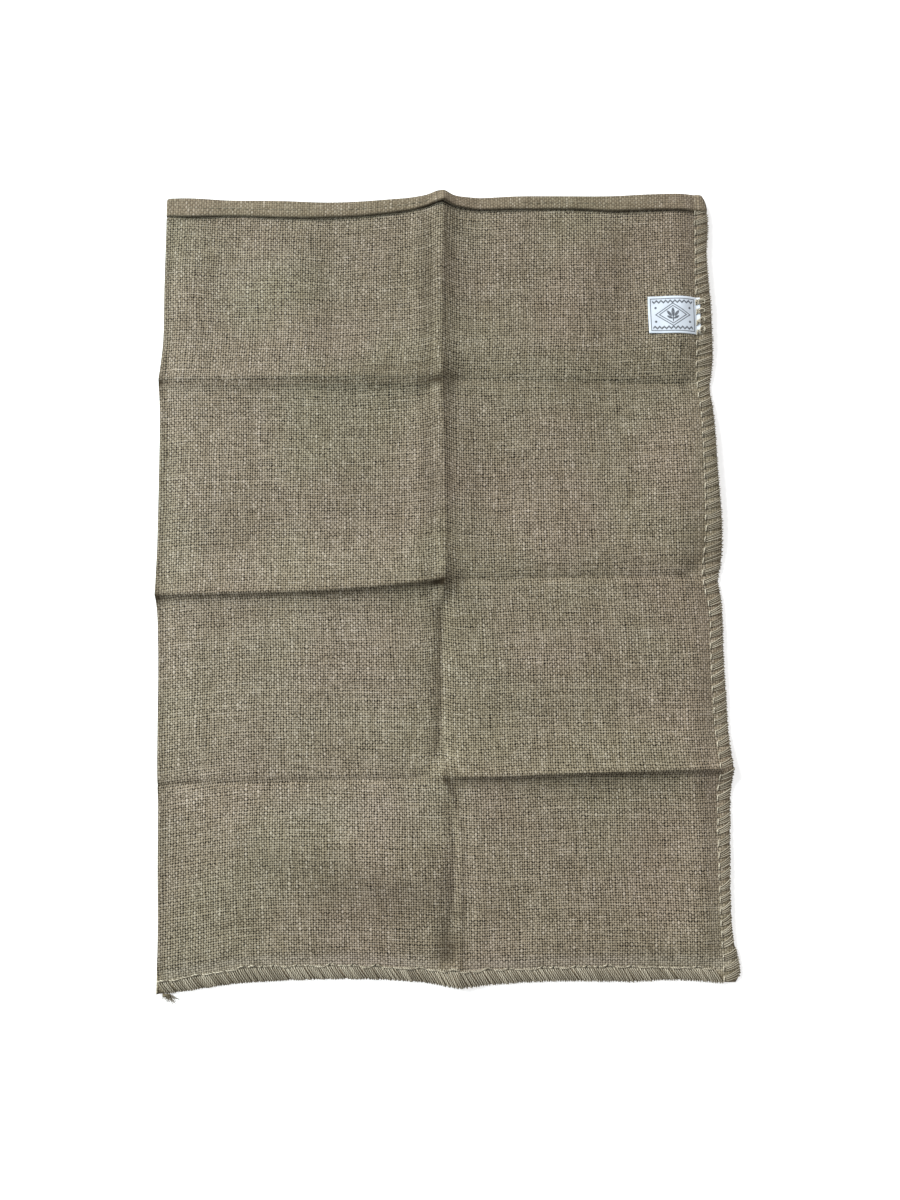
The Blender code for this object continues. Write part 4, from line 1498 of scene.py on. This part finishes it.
@dataclass(frozen=True)
class Label:
    """The printed label: it lies on the front layer, and its end is sewn in under the twine."""

    form: SackForm
    left: float = 190.0
    right: float = 238.6
    top: float = 251.8
    bottom: float = 217.5
    lean: float = 0.3  # of its left edge
    bow: float = 0.5  # of its top edge
    thickness: float = 0.3
    cells: tuple[int, int] = (84, 52)
    gap: float = 0.25
    curl: float = 0.9  # how far its free corners lift
    curl_reach: float = 14.0
    ripple: tuple[float, float, float] = (0.18, 3.1, 5.3)  # its height, and its reach across and up
    sewn_down: float = 0.15

    def build(self, material: Material) -> Object:
        """Args:
            material: The printed cotton.

        Returns:
            The piece.
        """
        wide, high = self.right - self.left, self.top - self.bottom
        across, up = np.meshgrid(*(np.linspace(0.0, 1.0, cells + 1) for cells in self.cells))
        flat = np.stack([across * wide, up * high], axis=-1)
        x = self.left + flat[..., 0] - self.lean * up * (1.0 - across)
        y = self.bottom + flat[..., 1] + self.bow * np.sin(np.pi * across) * up
        corner = rounded(1.0 - flat[..., 0] / self.curl_reach) * rounded((np.abs(up - 0.5) - 0.2) / 0.3)
        sewn = rounded((x - self.form.down(y, "seam") + 3.0) / 3.0)
        z = self.form.surface(x, y) + self.gap + self.curl * corner - self.sewn_down * sewn
        height, reach_x, reach_y = self.ripple
        z += height * np.sin(flat[..., 0] / reach_x + 1.0) * np.sin(flat[..., 1] / reach_y) * (1.0 - sewn)
        mesh = grid_mesh(np.stack([x, y, z], axis=-1), flat, {})
        piece = finish_mesh("label_tape", mesh, material)
        ply = piece.modifiers.new("tape_thickness", "SOLIDIFY")
        ply.thickness, ply.offset = self.thickness * MM, 1.0
        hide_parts("label")
        return piece


@dataclass(frozen=True)
class LabelLoops(StrandWork):
    """The loose loops of pale thread that catch the label's sewn-in end."""

    name: ClassVar[str] = "label_loops"
    seed: ClassVar[int] = 5
    sides: ClassVar[int] = 6
    form: SackForm
    label: Label
    loops: int = 4
    strands_each: int = 3
    radius: float = 0.42
    tone: float = 2.5  # far paler than the rest of the twine
    off_holes: float = 4.6  # how far beyond the line of holes their middles lie
    size: tuple[float, float] = (3.3, 2.9)
    sizes: tuple[float, float] = (0.6, 1.1)  # how the strands differ in that
    span: tuple[float, float] = (-0.15, 1.3)  # where a loop starts and ends, in half turns

    def strands(self, dice: Dice) -> list[Tube]:
        """Works out the loops.

        Args:
            dice: Where their unevenness comes from.

        Returns:
            The strands of all of them.
        """
        tubes = []
        for loop in range(self.loops):
            middle = self.label.bottom + (loop + 0.5) / self.loops * (self.label.top - self.label.bottom)
            for strand in range(self.strands_each):
                turn = np.linspace(*self.span, 10) * np.pi + dice.uniform(-0.35, 0.35)
                wide, high = (size * dice.uniform(*self.sizes) for size in self.size)
                y = middle + high * np.sin(turn) + 0.5 * np.cos(turn)
                x = self.form.down(y, "seam") + self.off_holes + wide * np.cos(turn) + dice.uniform(-0.4, 0.4)
                z = self.form.surface(x, y) + 1.0 + 0.3 * strand
                path = np.stack([x, y, z], axis=-1)
                tubes.append(Tube(path, np.full(10, self.radius), np.full(10, self.tone)))
        return tubes


@dataclass(frozen=True)
class TwineTail(StrandWork):
    """The frayed end of the seam twine at the bottom left corner: a small knot and its loose fibres."""

    name: ClassVar[str] = "frayed_tail"
    seed: ClassVar[int] = 3
    root: tuple[float, float] = (-243.5, -363.6)
    half_length: float = 3.6
    knot_radius: float = 0.95
    knot_leans: tuple[float, ...] = (-0.7, 0.6, -0.2, 1.0)
    fibres: int = 46
    headings: tuple[float, float, float] = (-150.0, -45.0, 10.0)  # degrees: most of them go down to the right
    lengths: tuple[float, float] = (4.0, 10.0)
    radii: tuple[float, float] = (0.15, 0.42)

    def strands(self, dice: Dice) -> list[Tube]:
        """Works out the knot's short thick turns, which cross each other, and the fibres that leave it.

        Args:
            dice: Where their unevenness comes from.

        Returns:
            The turns and then the fibres.
        """
        tubes = []
        root_x, root_y = self.root
        step = np.linspace(-1.0, 1.0, 7)
        thick = self.knot_radius * (1.0 - 0.45 * step**2)
        for turn, lean in enumerate(self.knot_leans):
            y = root_y + 1.6 + 1.3 * lean * np.sin(1.5 * step + turn)
            z = 1.1 + 0.9 * np.cos(1.4 * step) * (0.6 + 0.4 * np.sin(turn * 2.0))
            path = np.stack([root_x + self.half_length * step, y, z], axis=-1)
            tubes.append(Tube(path, thick, np.full(7, dice.uniform(0.0, 0.25))))
        step = np.linspace(0.0, 1.0, 6)
        for _ in range(self.fibres):
            heading = np.radians(dice.triangular(*self.headings))
            length = dice.uniform(*self.lengths) * (1.2 if np.cos(heading) > 0.5 else 0.7)
            curl = dice.uniform(-0.35, 0.35) * length * step**2
            start = root_x + dice.uniform(-3.4, 3.0)
            x = start + np.cos(heading) * length * step - np.sin(heading) * curl
            y = root_y + 2.2 + np.sin(heading) * length * step + np.cos(heading) * curl
            z = 0.4 + 1.2 * (1.0 - step) ** 2 + dice.uniform(0.0, 1.0) * step
            thick = dice.uniform(*self.radii) * (1.0 - 0.65 * step)
            tone = dice.uniform(0.0, 0.3) + 0.35 * step
            tubes.append(Tube(np.stack([x, y, z], axis=-1), thick, tone))
        return tubes

    def build(self, material: Material) -> Object:
        """Makes the tail and puts it in its solid's place.

        Args:
            material: The twine.

        Returns:
            The piece.
        """
        piece = super().build(material)
        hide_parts("seam_tail")
        return piece


@dataclass(frozen=True)
class LooseHairs(StrandWork):
    """Stray jute hairs that stand a little off the cloth."""

    name: ClassVar[str] = "loose_hairs"
    seed: ClassVar[int] = 4
    sides: ClassVar[int] = 3
    form: SackForm
    count: int = 420
    across: tuple[float, float] = (-246.0, 226.0)
    along: tuple[float, float] = (-336.0, 326.0)
    lengths: tuple[float, float] = (3.0, 11.0)
    lifts: tuple[float, float] = (0.1, 0.9)
    radii: tuple[float, float] = (0.07, 0.13)
    tones: tuple[float, float] = (0.5, 1.0)

    def strands(self, dice: Dice) -> list[Tube]:
        """Works out the hairs, which lie more or less along the yarns.

        Args:
            dice: Where their unevenness comes from.

        Returns:
            The hairs.
        """
        step = np.linspace(0.0, 1.0, 5)
        tubes = []
        for _ in range(self.count):
            length = dice.uniform(*self.lengths)
            heading = dice.choice([0.0, np.pi / 2.0]) + dice.normal(0.0, 0.35)
            bend = dice.uniform(-0.3, 0.3) * length * step**2
            x0, y0 = dice.uniform(*self.across), dice.uniform(*self.along)
            x = x0 + np.cos(heading) * length * step - np.sin(heading) * bend
            y = y0 + np.sin(heading) * length * step + np.cos(heading) * bend
            x = np.minimum(x, self.form.down(y, "seam") - 1.0)
            lift = dice.uniform(*self.lifts) * np.sin(np.pi * step)
            path = np.stack([x, y, self.form.surface(x, y) + lift], axis=-1)
            radius, tone = dice.uniform(*self.radii), dice.uniform(*self.tones)
            tubes.append(Tube(path, np.full(5, radius), np.full(5, tone)))
        return tubes


# ---- Studio ----------------------------------------------------------------------------------------
@dataclass(frozen=True)
class Studio:
    """A light table, a far lamp and a near softbox on the left, an even fill, and a camera overhead."""

    camera_place: tuple[float, float, float] = (-0.00465, -0.090291, 0.8051)
    camera_turn: tuple[float, float, float] = (5.223, -0.724, -0.809)
    lens: float = 27.0
    sensor: float = 36.0
    floor_size: float = 12.0
    floor_drop: float = 0.05
    floor_glow: float = 0.5
    lamp_from: tuple[float, float, float] = (-1.0, 0.85, 0.72)
    lamp_width: float = 24.0  # degrees across, seen from the sack
    lamp_strength: float = 3.9
    softbox_at: tuple[float, float, float] = (-0.85, 0.12, 0.5)
    softbox_size: float = 0.5
    softbox_power: float = 6.2
    softbox_colour: tuple[float, float, float] = (0.72, 0.94, 1.0)
    sky: float = 0.48
    white: tuple[float, float, float, float] = (1.0, 1.0, 1.0, 1.0)

    def floor(self) -> Object:
        """Lays the pale floor.

        Returns:
            The floor.
        """
        bm = bmesh.new()
        bmesh.ops.create_grid(bm, x_segments=1, y_segments=1, size=self.floor_size / 2.0)
        bmesh.ops.translate(bm, verts=bm.verts, vec=(0.0, 0.0, -self.floor_drop * MM))
        mesh = bpy.data.meshes.new("floor")
        bm.to_mesh(mesh)
        bm.free()
        glow = {"Emission Color": self.white, "Emission Strength": self.floor_glow}
        matt = {"Base Color": linear("#F2F2F2"), "Roughness": 0.95, "Specular IOR Level": 0.1}
        mesh.materials.append(new_material("matt_white_floor", matt | glow)[0])
        floor = add_object("floor", mesh)
        return floor

    def lamp(self) -> Object:
        """Hangs the far lamp, aimed at the sack.

        Returns:
            The lamp.
        """
        sun = bpy.data.lights.new("far_lamp", "SUN")
        sun.energy, sun.angle = self.lamp_strength, np.radians(self.lamp_width)
        lamp = add_object("far_lamp", sun)
        lamp.rotation_euler = Vector(self.lamp_from).to_track_quat("Z", "Y").to_euler()
        return lamp

    def softbox(self) -> Object:
        """Sets up the near softbox, aimed at the sack, which makes its left a little lighter than its right.

        Returns:
            The softbox.
        """
        light = bpy.data.lights.new("softbox", "AREA")
        light.energy, light.size, light.color = self.softbox_power, self.softbox_size, self.softbox_colour
        box = add_object("softbox", light)
        box.location = self.softbox_at
        box.rotation_euler = Vector(self.softbox_at).to_track_quat("Z", "Y").to_euler()
        return box

    def fill(self) -> None:
        """Lights everything evenly from all round."""
        world = bpy.data.worlds.new("studio")
        world.use_nodes = True
        background = world.node_tree.nodes["Background"]
        background.inputs["Color"].default_value = self.white
        background.inputs["Strength"].default_value = self.sky
        bpy.context.scene.world = world

    def camera(self) -> Object:
        """Points the camera down, nearly straight.

        Returns:
            The camera.
        """
        lens = bpy.data.cameras.new("camera")
        lens.lens, lens.sensor_width, lens.sensor_fit = self.lens, self.sensor, "AUTO"
        lens.clip_start = 0.01
        camera = add_object("camera", lens)
        camera.location = self.camera_place
        camera.rotation_euler = Euler(np.radians(self.camera_turn))
        bpy.context.scene.camera = camera
        return camera

    def build(self) -> None:
        """Sets up the floor, the lights, the camera and a plain view of their light."""
        self.camera()
        self.floor()
        self.lamp()
        self.softbox()
        self.fill()
        bpy.context.scene.view_settings.view_transform = "Standard"


def main() -> None:
    """Builds the studio and the sack's pieces in order."""
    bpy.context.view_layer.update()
    Studio().build()
    form = SackForm()
    hessian, twine = Hessian().build(), Twine().build()
    cloth, label = SackCloth(form), Label(form)
    cloth.build(hessian)
    Oversewing(form).build(twine)
    HemStitching(form, cloth).build(twine)
    label.build(PrintedCotton().build())
    for work in (LabelLoops(form, label), TwineTail(), LooseHairs(form)):
        work.build(twine)


if __name__ == "__main__":
    main()
